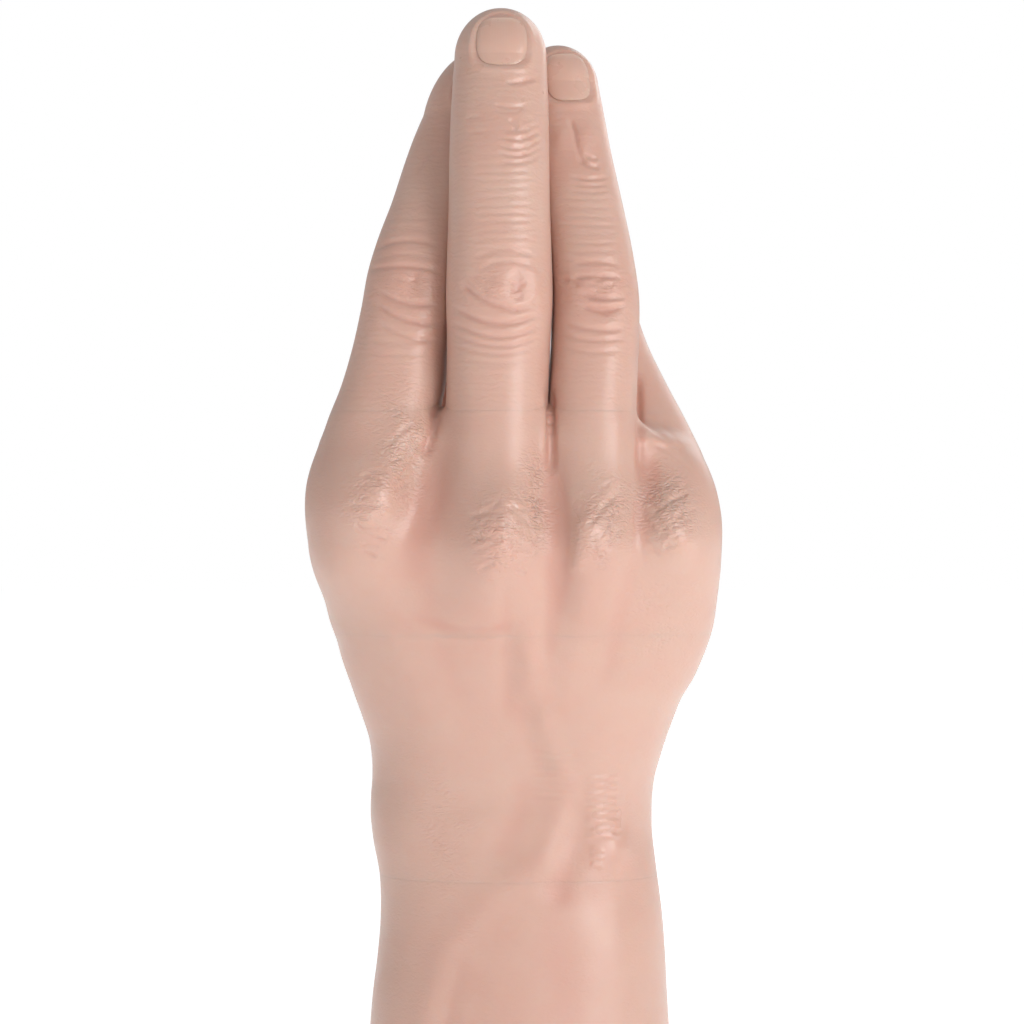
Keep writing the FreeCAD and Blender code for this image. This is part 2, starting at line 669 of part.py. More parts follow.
def build_palm_frame():
    """A cast frame: foot on the spindle, slanted web, three lugs and the thumb boss."""
    body = new_body("palm_frame_casting")
    forward, height = "-dims.knuckle_forward", "dims.knuckle_height"
    foot, foot_top = FRAME_FOOT, f"{FRAME_FOOT} + dims.foot_thickness"
    neck = f"{forward} + dims.knuckle_forward * dims.neck_drop / (dims.knuckle_height - ({foot_top}))"
    side = [
        ("-dims.foot_half_depth", foot),
        ("dims.foot_half_depth", foot),
        ("dims.foot_half_depth", foot_top),
        ("dims.web_half", foot_top),
        (f"{neck} + dims.neck_half", f"{height} - dims.neck_drop"),
        (f"{forward} + dims.barrel_radius", height),
        (f"{forward} + dims.barrel_radius * 0.6", f"{height} + dims.barrel_radius * 0.8"),
        (f"{forward} - dims.barrel_radius * 0.6", f"{height} + dims.barrel_radius * 0.8"),
        (f"{forward} - dims.barrel_radius", height),
        (f"{neck} - dims.neck_half", f"{height} - dims.neck_drop"),
        ("-dims.web_half", foot_top),
        ("-dims.foot_half_depth", foot_top),
    ]
    shaft_hole = [(forward, height, "dims.shaft_radius + dims.seat_gap")]
    pad(body, "YZ_Plane", [side], "dims.shaft_half_length * 2", shaft_hole)
    lug_left = "dims.index_lug_x - dims.lug_width / 2"
    lug_right = "dims.little_lug_x + dims.lug_width / 2"
    slot_floor = f"{height} - dims.pad_bore + 1"
    over = f"{height} + 2 * dims.barrel_radius"
    outside = "dims.shaft_half_length + 5"
    narrow, wide_from = "dims.foot_half_width", "dims.web_widens_at"
    away = [
        [
            (f"-({outside})", "dims.wrist_split"),
            (f"-{narrow}", "dims.wrist_split"),
            (f"-{narrow}", foot_top),
            ("-dims.web_thumb_side", f"{foot_top} + 2"),
            ("-dims.web_thumb_side", wide_from),
            (lug_left, slot_floor),
            (lug_left, over),
            (f"-({outside})", over),
        ],
        [
            (outside, "dims.wrist_split"),
            (outside, over),
            (lug_right, over),
            (lug_right, slot_floor),
            (narrow, wide_from),
            (narrow, "dims.wrist_split"),
        ],
    ]
    for left, right in zip(LUGS, LUGS[1:]):
        low, high = f"dims.{left} + dims.lug_width / 2", f"dims.{right} - dims.lug_width / 2"
        away.append([(low, slot_floor), (high, slot_floor), (high, over), (low, over)])
    full = "4 * (dims.knuckle_forward + dims.foot_half_depth + dims.barrel_radius)"
    pad(body, "XZ_Plane", away, full, feature="Pocket")
    screw_holes = [
        (f"dims.frame_screw_x * {sx}", f"dims.frame_screw_y * {sy}", "dims.frame_screw_radius + dims.seat_gap")
        for sx in (-1, 1)
        for sy in (-1, 1)
    ]
    pad(body, "XY_Plane", [], f"2 * ({foot_top})", screw_holes, feature="Pocket")
    DOC.recompute()

    boss = block(
        "thumb_boss",
        "dims.thumb_boss_thickness",
        "dims.thumb_boss_half + dims.thumb_boss_reach",
        "dims.thumb_boss_half * 2",
        "-dims.thumb_boss_offset - dims.thumb_boss_thickness / 2",
        "-dims.thumb_boss_half",
        "-dims.thumb_boss_half",
    )
    DOC.recompute()
    boss_shape = boss.Shape.copy()
    boss_shape.Placement = thumb_placement().multiply(boss_shape.Placement)
    pin_hole = Part.makeCylinder(
        size("dims.thumb_pin_radius + dims.seat_gap"),
        60,
        Vector(-size("dims.thumb_boss_offset") - 30, 0, 0),
        Vector(1, 0, 0),
    )
    pin_hole.Placement = thumb_placement().multiply(pin_hole.Placement)
    frame = body.Shape.fuse(boss_shape).removeSplitter().cut(pin_hole)
    plain("palm_frame", frame)

    screw = turned(
        "frame_screw",
        [
            ("0", "0"),
            ("dims.frame_screw_radius", "0"),
            ("dims.frame_screw_radius", "dims.frame_screw_length"),
            ("dims.frame_screw_radius * 1.75", "dims.frame_screw_length"),
            ("dims.frame_screw_radius * 1.75", "dims.frame_screw_length + dims.frame_screw_radius * 2"),
            ("0", "dims.frame_screw_length + dims.frame_screw_radius * 2"),
        ],
        z=f"{foot_top} - dims.frame_screw_length",
    )
    offset_x, offset_y = size("dims.frame_screw_x"), size("dims.frame_screw_y")
    spots = [(sx * offset_x, sy * offset_y) for sx in (-1, 1) for sy in (-1, 1)]
    group("frame_screws", [moved(screw.Shape, x, y) for x, y in spots])
    drilled = DOC.getObject("wrist_spindle").Shape
    hole = Part.makeCylinder(
        size("dims.frame_screw_radius + dims.seat_gap"),
        size("dims.frame_screw_length"),
        Vector(0, 0, size(f"{foot_top} - dims.frame_screw_length")),
    )
    for x, y in spots:
        drilled = drilled.cut(moved(hole, x, y))
    DOC.getObject("wrist_spindle").Label = "wrist_spindle_blank"
    plain("wrist_spindle_drilled", drilled).Label = "wrist_spindle"
    return ["palm_frame", "frame_screws"]


def build_knuckle_shaft():
    """The straight steel shaft through the three lugs, its nuts and friction washers."""
    y, z = -size("dims.knuckle_forward"), size("dims.knuckle_height")
    shaft = cylinder("knuckle_shaft", "dims.shaft_radius", "dims.shaft_half_length * 2")
    shaft.Placement = Placement(Vector(0, 0, 0), Rotation(Vector(0, 1, 0), 90))
    bind_place(shaft, "-dims.shaft_half_length", "-dims.knuckle_forward", "dims.knuckle_height")
    half = size("dims.shaft_half_length")
    thickness = size("dims.shaft_nut_thickness")
    bore = size("dims.shaft_radius + dims.seat_gap")
    collar = along_x(size("dims.shaft_nut_radius"), thickness / 2, 0, 0)
    collar = collar.cut(along_x(bore, thickness, 0, 0))
    group("knuckle_collars", [moved(collar, side * (half - thickness / 2), y, z) for side in (-1, 1)])
    washer_half = size("dims.washer_thickness") / 2
    washer = along_x(size("dims.barrel_radius") - 0.5, washer_half, 0, 0).cut(along_x(bore, 2, 0, 0))
    places = []
    for lug in LUGS:
        for side in (-1, 1):
            reach = size("dims.lug_width / 2 + dims.washer_play") + washer_half
            places.append(size(f"dims.{lug}") + side * reach)
    group("knuckle_washers", [moved(washer, x, y, z) for x in places])
    return ["knuckle_shaft", "knuckle_collars", "knuckle_washers"]


def frame_room():
    """Space that the palm's soft core leaves for the frame, enlarged all round."""
    gap = size("dims.soft_gap")
    y, z = -size("dims.knuckle_forward"), size("dims.knuckle_height")
    split = size("dims.wrist_split")
    foot_top = size(f"{FRAME_FOOT} + dims.foot_thickness")
    screw_top = foot_top + size("dims.frame_screw_radius * 2") + gap
    foot = size(FRAME_FOOT)
    well = Part.makeCylinder(size("dims.spindle_flange") + gap, foot + gap - split, Vector(0, 0, split))
    half_x, half_y = size("dims.foot_half_width") + gap, size("dims.foot_half_depth") + gap
    foot_room = Part.makeBox(2 * half_x, 2 * half_y, screw_top - foot, Vector(-half_x, -half_y, foot))
    low = size("dims.web_half") + 1.5 * gap
    high = size("dims.barrel_radius") + 1.5 * gap
    side = [(-low, foot_top), (low, foot_top), (y + high, z), (y - high, z), (-low, foot_top)]
    web = Part.Face(Part.makePolygon([Vector(-40, v, w) for v, w in side])).extrude(Vector(80, 0, 0))
    left, right = -size("dims.web_thumb_side") - gap, size("dims.foot_half_width") + gap
    wide_left = size("dims.index_lug_x - dims.lug_width / 2") - gap
    wide_right = size("dims.little_lug_x + dims.lug_width / 2") + gap
    widens, slot_floor = size("dims.web_widens_at") - gap, z - size("dims.pad_bore") + 1 - gap
    front = [
        (left - 12, foot_top),
        (left, foot_top + 2 + gap),
        (left, widens),
        (wide_left, slot_floor),
        (wide_left, z),
        (wide_right, z),
        (wide_right, slot_floor),
        (right, widens),
        (right, foot_top),
        (left - 12, foot_top),
    ]
    front_face = Part.Face(Part.makePolygon([Vector(u, -60, w) for u, w in front]))
    web = web.common(front_face.extrude(Vector(0, 120, 0)))
    boss = Part.makeBox(
        size("dims.thumb_boss_thickness") + 2 * gap,
        size("dims.thumb_boss_half + dims.thumb_boss_reach") + 2 * gap,
        size("dims.thumb_boss_half * 2") + 2 * gap,
        Vector(
            -size("dims.thumb_boss_offset + dims.thumb_boss_thickness / 2") - gap,
            -size("dims.thumb_boss_half") - gap,
            -size("dims.thumb_boss_half") - gap,
        ),
    )
    pin = Part.makeCylinder(
        size("dims.thumb_pin_radius") + 2.5,
        size("dims.thumb_boss_offset + dims.thumb_boss_thickness"),
        Vector(-size("dims.thumb_boss_offset + dims.thumb_boss_thickness"), 0, 0),
        Vector(1, 0, 0),
    )
    for part in (boss, pin):
        part.Placement = thumb_placement().multiply(part.Placement)
    return [well, foot_room, web, boss, pin]


def thenar_outer(grow=0.0):
    """The thumb's soft root: a ball on the pivot, tapering to the second hinge."""
    radius = size("dims.thumb_root_ball") + grow
    near = size("dims.thumb_hinge_ball") + 1.0 + grow
    arm = Vector(0, -size("dims.thumb_arm_back"), size("dims.thumb_arm_rise"))
    body = Part.makeCone(radius, near, arm.Length, Vector(0, 0, 0), arm)
    body = body.fuse(Part.makeSphere(radius)).fuse(Part.makeSphere(near, arm))
    body.Placement = thumb_placement()
    return body


def thenar_sweep(grow):
    """The thumb's soft root at steps of its swing, which the palm leaves free."""
    place = thumb_placement()
    found = []
    for step in range(6):
        body = thenar_outer(grow)
        turn = Rotation(Vector(1, 0, 0), step * size("dims.thumb_swing") / 5)
        body.Placement = place.multiply(Placement(Vector(0, 0, 0), turn))
        found.append(body)
    return found


def build_palm_soft():
    """The palm's foam core and outer skin, cut clear of the knuckle barrel and the thumb."""
    wall, gap = size("dims.skin_wall"), size("dims.soft_gap")
    low, high = size("dims.wrist_split + dims.split_gap"), size("dims.palm_top")
    y, z = -size("dims.knuckle_forward"), size("dims.knuckle_height")
    clear = [along_x(size("dims.pad_radius") + 2 * gap, 60, y, z)] + thenar_sweep(2 * gap)
    piece = slab(low, high)
    core = arm_envelope(wall + gap).common(piece)
    skin = arm_envelope().cut(arm_envelope(wall)).common(piece)
    for tool in clear:
        core, skin = core.cut(tool), skin.cut(tool)
    for tool in frame_room():
        core = core.cut(tool)
    plain("palm_core", biggest(core))
    plain("palm_skin", biggest(skin))
    return ["palm_core", "palm_skin"]


def biggest(shape):
    """The largest solid of a cut, without loose slivers."""
    return max(shape.Solids, key=lambda s: s.Volume)


# ---------------------------------------------------------------- fingers


def bone_points(finger):
    """The path of a finger's rod: up from the yoke's cross bar to the finger's pulp."""
    root, shaft, middle, tip, pulp = (station(f"{finger}_{n}") for n in FINGER_STATIONS[finger])
    bar = size("dims.knuckle_height + dims.yoke_bar_height")
    x, y = shaft[1] * 0.25 + root[1] * 0.75, size("dims.rod_shift - dims.knuckle_forward")
    inside = [a * 0.65 + b * 0.35 for a, b in zip(shaft, middle)]
    return [
        Vector(x, y, bar - size("dims.yoke_bar_thickness / 2")),
        Vector(x, y, bar + size("dims.rod_rise")),
        Vector(inside[1], inside[2], inside[0]),
        Vector(middle[1], middle[2], middle[0]),
        Vector(tip[1], tip[2], tip[0]),
        Vector(pulp[1], pulp[2], pulp[0] - 4),
    ]


def build_finger_frame():
    """The yoke on the knuckle shaft, one steel rod per finger, their caps and set screws."""
    y, z = -size("dims.knuckle_forward"), size("dims.knuckle_height")
    bar_height = size("dims.yoke_bar_height")
    bar_half = size("dims.yoke_bar_thickness") / 2
    bar_deep = size("dims.yoke_bar_depth") / 2
    leg_half = size("dims.yoke_leg_half")
    radius = size("dims.barrel_radius")
    spans = [(size(a), size(b)) for a, b in barrel_spans()]
    left, right = spans[0][0], spans[-1][1]
    yoke = Part.makeBox(
        right - left, 2 * bar_deep, 2 * bar_half, Vector(left, y - bar_deep, z + bar_height - bar_half)
    )
    for low, high in spans:
        barrel = along_x(radius, (high - low) / 2, y, z, (low + high) / 2)
        leg = Part.makeBox(high - low, 2 * leg_half, bar_height, Vector(low, y - leg_half, z))
        yoke = yoke.fuse(barrel).fuse(leg)
    yoke = yoke.cut(along_x(size("dims.shaft_radius + dims.turn_gap"), 60, y, z))
    rods = {}
    for finger in FINGERS:
        points = bone_points(finger)
        rods[finger] = rod_shape(points, size("dims.rod_radius"), size("dims.rod_bend"))
        socket = Part.makeCylinder(size("dims.rod_radius + dims.seat_gap"), 4 * bar_half, points[0])
        yoke = yoke.cut(socket)
    screw_length = bar_deep + size("dims.rod_shift - dims.rod_radius") - 0.1
    screw = Part.makeCylinder(
        size("dims.set_screw_radius"), screw_length, Vector(0, -bar_deep, 0), Vector(0, 1, 0)
    )
    screws = [moved(screw, bone_points(f)[0].x, y, z + bar_height) for f in FINGERS]
    for tool in screws:
        yoke = yoke.cut(tool)
    plain("finger_yoke", yoke.removeSplitter())
    group("rod_set_screws", screws)
    names = ["finger_yoke", "rod_set_screws"]
    for finger in FINGERS:
        plain(f"{finger}_rod", rods[finger])
        plain(f"{finger}_rod_cap", rod_cap(bone_points(finger)))
        names += [f"{finger}_rod", f"{finger}_rod_cap"]
    return names


def rod_cap(points, grow=0.0):
    """A blunt plastic cap on the end of a rod."""
    end, before = points[-1], points[-2]
    direction = (end - before).normalize()
    radius, length = size("dims.cap_radius") + grow, size("dims.cap_length")
    start = end - direction * (length / 2)
    cap = Part.makeCylinder(radius, length, start, direction).fuse(Part.makeSphere(radius, start + direction * length))
    if grow:
        return cap
    hole = Part.makeCylinder(size("dims.rod_radius + dims.seat_gap"), length / 2, start, direction)
    return cap.removeSplitter().cut(hole)


def build_finger_soft():
    """The knuckle pad round the hinge, four finger mouldings and their nails."""
    gap = size("dims.soft_gap")
    y, z = -size("dims.knuckle_forward"), size("dims.knuckle_height")
    radius = size("dims.pad_radius")
    bar_height = size("dims.yoke_bar_height")
    bar_top = bar_height + size("dims.yoke_bar_thickness") / 2 + gap
    bar_deep = size("dims.yoke_bar_depth") / 2 + gap
    half = size("dims.shaft_half_length") + gap
    web_top = size("dims.web_top")
    low = station("web_low")
    plan = Part.Face(outline(z - radius - 1, low[1], low[2], low[3] - 0.5, 1.25 * radius))
    plan = plan.extrude(Vector(0, 0, 2 * radius + 2))
    barrel = along_x(radius, 60, y, z).common(plan)
    rows = eased([station(name) for name in WEB_STATIONS], 2)
    web = Part.makeLoft([outline(*row) for row in rows], True, False)
    pad_soft = barrel.fuse(web.common(slab(z + 0.5, web_top)))
    frame_half = size("dims.little_lug_x + dims.lug_width / 2") + 3 * gap
    pad_soft = pad_soft.cut(along_x(size("dims.pad_bore"), frame_half, y, z))
    pad_soft = pad_soft.cut(along_x(size("dims.barrel_radius") + 2 * gap, half, y, z))
    bar_room = Part.makeBox(2 * half, 2 * bar_deep, bar_top, Vector(-half, y - bar_deep, z))
    web_room = sector(y, z, 1.5 * radius, -38, 45).extrude(Vector(2 * frame_half, 0, 0))
    web_room.translate(Vector(-frame_half, 0, 0))
    pad_soft = pad_soft.cut(bar_room).cut(web_room)
    above_web = slab(web_top + gap, 300)
    names = []
    for finger in FINGERS:
        points = bone_points(finger)
        soft = finger_envelope(finger).common(above_web)
        channel = rod_shape(points, size("dims.rod_radius") + gap, size("dims.rod_bend"))
        soft = soft.cut(channel).cut(rod_cap(points, gap))
        nail = nail_shape(finger, size("dims.nail_thickness"))
        soft = soft.cut(nail)
        pad_soft = pad_soft.cut(channel)
        plain(f"{finger}_finger", biggest(soft))
        plain(f"{finger}_nail", nail)
        names += [f"{finger}_finger", f"{finger}_nail"]
    plain("knuckle_pad", biggest(pad_soft))
    return names + ["knuckle_pad"]


def sector(y, z, radius, low, high):
    """A pie slice in the YZ plane about the knuckle shaft, in degrees from straight down towards +Y."""
    rim = [Vector(0, y + radius * math.sin(math.radians(a)), z - radius * math.cos(math.radians(a))) for a in (low, (low + high) / 2, high)]
    hub = Vector(0, y, z)
    edges = [
        Part.LineSegment(hub, rim[0]).toShape(),
        Part.Arc(*rim).toShape(),
        Part.LineSegment(rim[2], hub).toShape(),
    ]
    return Part.Face(Part.Wire(edges))


# ---------------------------------------------------------------- thumb


def build_thumb():
    """Pivot pin, lever with a clevis, hinge pin, rod, soft root, soft tip and nail."""
    place = thumb_placement()
    gap = size("dims.soft_gap")
    pin_radius = size("dims.thumb_pin_radius")
    half = size("dims.thumb_barrel_length") / 2
    inner_end = "dims.thumb_boss_offset + dims.thumb_boss_thickness / 2 + 1"
    outer_end = (
        "dims.thumb_barrel_length / 2 + dims.washer_thickness + 2 * dims.washer_play"
        " + dims.thumb_collar"
    )
    pin = cylinder("thumb_pivot_pin", "dims.thumb_pin_radius", f"{inner_end} + {outer_end}")
    along = Placement(Vector(-size(inner_end), 0, 0), Rotation(Vector(0, 1, 0), 90))
    pin.Placement = place.multiply(along)
    pin_end = size(outer_end)

    def placed(shape):
        shape.Placement = place.multiply(shape.Placement)
        return shape

    washer = along_x(size("dims.thumb_barrel_radius") - 0.5, 0.5, 0, 0).cut(
        along_x(pin_radius + size("dims.seat_gap"), 2, 0, 0)
    )
    side = half + size("dims.washer_play") + 0.5
    group("thumb_washers", [placed(moved(washer, x)) for x in (-side, side)])
    collar_thickness = size("dims.thumb_collar")
    collar = along_x(pin_radius + 2, collar_thickness / 2, 0, 0, pin_end - collar_thickness / 2)
    plain("thumb_pivot_collar", placed(collar.cut(along_x(pin_radius + size("dims.seat_gap"), 60, 0, 0))))
    sleeve_end = -size("dims.thumb_boss_offset - dims.thumb_boss_thickness / 2")
    sleeve_start = -side - 0.5 - size("dims.washer_play")
    sleeve_half = (sleeve_start - sleeve_end) / 2
    sleeve = along_x(pin_radius + 1.5, sleeve_half, 0, 0, (sleeve_start + sleeve_end) / 2)
    plain("thumb_spacer", placed(sleeve.cut(along_x(pin_radius + size("dims.seat_gap"), 60, 0, 0))))

    arm = Vector(0, -size("dims.thumb_arm_back"), size("dims.thumb_arm_rise"))
    tilt = Rotation(Vector(0, 0, 1), arm)
    lever_half = size("dims.lever_half")
    ear, inner = size("dims.hinge_ear"), size("dims.hinge_barrel_length") / 2 + size("dims.washer_play")
    hinge_radius = size("dims.hinge_barrel_radius")
    length = arm.Length
    bar = Part.makeBox(2 * (inner + ear), 2 * lever_half, length, Vector(-inner - ear, -lever_half, 0))
    fork = Part.makeBox(2 * inner, 40, 2 * hinge_radius + 8, Vector(-inner, -20, length - hinge_radius - 1.5))
    rounds = along_x(hinge_radius, inner + ear, 0, length)
    bar = bar.fuse(rounds).cut(fork)
    bar = bar.cut(along_x(size("dims.hinge_pin_radius + dims.seat_gap"), 30, 0, length))
    bar.Placement = Placement(Vector(0, 0, 0), tilt)
    lever = along_x(size("dims.thumb_barrel_radius"), half, 0, 0).fuse(bar)
    lever = lever.cut(along_x(pin_radius + size("dims.turn_gap"), 60, 0, 0))
    plain("thumb_lever", placed(lever.removeSplitter()))

    hinge_pin = cylinder("thumb_hinge_pin", "dims.hinge_pin_radius", "dims.hinge_barrel_length + 2 * dims.hinge_ear + 2 * dims.washer_play")
    hinge_at = place.multiply(Placement(arm, Rotation(Vector(0, 0, 1), 0)))
    hinge_pin.Placement = hinge_at.multiply(Placement(Vector(-inner - ear, 0, 0), Rotation(Vector(0, 1, 0), 90)))

    points = [hinge_at.Base] + [
        Vector(s[1], s[2], s[0]) for s in (station("thumb_middle_joint"), station("thumb_pulp"))
    ]
    points[-1] = points[-1] - Vector(0, 0, 4)
    rod = rod_shape(points, size("dims.rod_radius"), size("dims.rod_bend"))
    barrel = along_x(hinge_radius, size("dims.hinge_barrel_length") / 2, 0, 0)
    bore = along_x(size("dims.hinge_pin_radius + dims.turn_gap"), 30, 0, 0)
    barrel.Placement = hinge_at
    bore.Placement = hinge_at
    plain("thumb_rod", rod.fuse(barrel).cut(bore).removeSplitter())
    plain("thumb_rod_cap", rod_cap(points))

    ball = size("dims.thumb_hinge_ball")
    room = Part.makeBox(
        2 * (inner + ear + gap), 2 * (lever_half + gap), length + 20, Vector(-inner - ear - gap, -lever_half - gap, -4)
    )
    room.Placement = Placement(Vector(0, 0, 0), tilt)
    barrel_room = along_x(size("dims.thumb_barrel_radius") + gap, 20, 0, 0, pin_end + gap - 20)
    cup = Part.makeSphere(ball + 2 * gap, arm)
    above = Part.makeBox(80, 80, 60, Vector(-40, -40, length - size("dims.thenar_cut")))
    above.Placement = Placement(Vector(0, 0, 0), tilt)
    thenar = thenar_outer()
    for tool in (room, barrel_room, cup, above):
        thenar = thenar.cut(placed(tool))
    plain("thenar_pad", biggest(thenar))

    soft = finger_envelope("thumb")
    root = Part.makeSphere(ball, hinge_at.Base)
    soft = soft.fuse(root)
    hole_radius = math.hypot(inner + ear, lever_half) + 0.26 * ball
    swing = Rotation(Vector(1, 0, 0), -12.5).multVec(-arm)
    entry = Part.makeCylinder(hole_radius, 60, arm, swing)
    hub = along_x(hinge_radius + 2.5, inner + ear + gap, 0, 0)
    hub.Placement = Placement(arm, Rotation())
    for tool in (entry, hub):
        soft = soft.cut(placed(tool))
    soft = soft.cut(rod_shape(points, size("dims.rod_radius") + gap, size("dims.rod_bend")))
    soft = soft.cut(rod_cap(points, gap))
    nail = nail_shape("thumb", size("dims.nail_thickness"))
    plain("thumb_tip", biggest(soft.cut(nail)))
    plain("thumb_nail", nail)
    return [
        "thumb_pivot_pin",
        "thumb_washers",
        "thumb_pivot_collar",
        "thumb_spacer",
        "thumb_lever",
        "thumb_hinge_pin",
        "thumb_rod",
        "thumb_rod_cap",
        "thenar_pad",
        "thumb_tip",
        "thumb_nail",
    ]


# ---------------------------------------------------------------- build and write


def write_parts(names):
    """Checks every object, then writes one STEP file for each sub-part."""
    DOC.recompute()
    for obj in DOC.Objects:
        if "Invalid" in obj.State or "Error" in obj.State:
            raise RuntimeError(f"{obj.Label} failed to recompute: {obj.State}")
    by_label = {obj.Label: obj for obj in DOC.Objects}
    os.makedirs("parts", exist_ok=True)
    for name in names:
        shape = by_label[name].Shape
        if shape.isNull() or not shape.isValid() or not shape.Solids:
            raise RuntimeError(f"{name} has no valid solid")
        shape.exportStep(f"parts/{name}.step")
        print(f"{name}: {len(shape.Solids)} solid(s), {shape.Volume / 1000:.2f} cm3")


def main():
    fill_sheet()
    names = build_forearm() + build_wrist() + build_palm_frame() + build_knuckle_shaft()
    names += build_palm_soft() + build_finger_frame() + build_finger_soft() + build_thumb()
    write_parts(names)


main()
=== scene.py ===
"""Looks of the cosmetic prosthetic hand: one soft moulded skin, five nails and the metal underneath.

The skin is a closed form worked out in millimetres as a signed field, then meshed and moved to metres.
It is cut into nine pieces. Four of them span the hand's four joints; they list the two bodies on either
side but are left unparented, and every cut lies in a stretch that does not bend.
"""

from __future__ import annotations

import json
import logging
import math
from dataclasses import dataclass, field
from enum import Enum
from typing import Callable, Sequence

import bpy
import numpy as np
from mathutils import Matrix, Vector

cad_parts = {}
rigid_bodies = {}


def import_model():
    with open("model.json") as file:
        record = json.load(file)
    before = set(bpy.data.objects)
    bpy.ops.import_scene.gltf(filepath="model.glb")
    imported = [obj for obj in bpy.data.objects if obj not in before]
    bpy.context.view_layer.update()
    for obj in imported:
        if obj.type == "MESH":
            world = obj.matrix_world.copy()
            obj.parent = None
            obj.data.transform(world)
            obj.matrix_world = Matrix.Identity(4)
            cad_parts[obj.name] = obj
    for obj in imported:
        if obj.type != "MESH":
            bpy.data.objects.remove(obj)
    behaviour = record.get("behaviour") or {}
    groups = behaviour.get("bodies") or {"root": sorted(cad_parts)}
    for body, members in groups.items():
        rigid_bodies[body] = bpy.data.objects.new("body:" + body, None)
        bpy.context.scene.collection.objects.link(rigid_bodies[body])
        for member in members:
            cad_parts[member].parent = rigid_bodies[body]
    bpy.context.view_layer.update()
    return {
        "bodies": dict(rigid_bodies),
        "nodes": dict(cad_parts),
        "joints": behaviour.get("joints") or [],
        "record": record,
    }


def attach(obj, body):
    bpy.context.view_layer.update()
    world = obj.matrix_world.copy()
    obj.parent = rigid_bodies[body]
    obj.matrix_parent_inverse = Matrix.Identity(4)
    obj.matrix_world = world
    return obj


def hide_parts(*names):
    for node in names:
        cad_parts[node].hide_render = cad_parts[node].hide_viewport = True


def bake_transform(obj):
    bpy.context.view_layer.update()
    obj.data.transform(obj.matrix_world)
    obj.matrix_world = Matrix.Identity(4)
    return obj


log = logging.getLogger("cosmetic_hand")
Points = np.ndarray
Field = Callable[[Points], np.ndarray]
Spot = tuple[float, float, float, float, float]
MM = 0.001
SCATTER = (1.0, 0.45, 0.28)  # how far red, green and blue light travels inside the elastomer


# ---------------------------------------------------------------- fields


def smooth_min(a: np.ndarray, b: np.ndarray, blend: np.ndarray | float) -> np.ndarray:
    """The smaller of two fields with a rounded valley: min(a, b) - h^2 k / 4, h = max(k - |a - b|, 0) / k."""
    h = np.maximum(blend - np.abs(a - b), 0.0) / blend
    return np.minimum(a, b) - h * h * blend / 4


def smooth_max(a: np.ndarray, b: np.ndarray, blend: float) -> np.ndarray:
    """The larger of two fields with a rounded edge of about half the blend."""
    return -smooth_min(-a, -b, blend)


def ramp(x: np.ndarray, low: float, high: float) -> np.ndarray:
    """0 below low, 1 above high, smooth between: 3t^2 - 2t^3."""
    t = np.clip((x - low) / (high - low), 0.0, 1.0)
    return t * t * (3 - 2 * t)


def bump(x: np.ndarray, centre: float, width: float) -> np.ndarray:
    """A bell of height 1: exp(-((x - centre) / width)^2)."""
    return np.exp(-(((x - centre) / width) ** 2))


def spots(x: np.ndarray, z: np.ndarray, rows: Sequence[Spot]) -> np.ndarray:
    """The highest of several two-way bells.

    Args:
        x: places across the hand.
        z: heights.
        rows: centre x, centre height, width, height and share of each bell.

    Returns:
        For each place the maximum of share bump(x) bump(z), or 0.
    """
    found = np.zeros(len(x))
    for cx, cz, wide, tall, share in rows:
        found = np.maximum(found, share * bump(x, cx, wide) * bump(z, cz, tall))
    return found


def ring_faces(rings: int, around: int) -> np.ndarray:
    """Quads between rings of points, where point k of ring i has the number i around + k."""
    i, j = np.meshgrid(np.arange(rings - 1), np.arange(around), indexing="ij")
    a, b = i * around + j, i * around + (j + 1) % around
    return np.stack([a, a + around, b + around, b], -1).reshape(-1, 4)


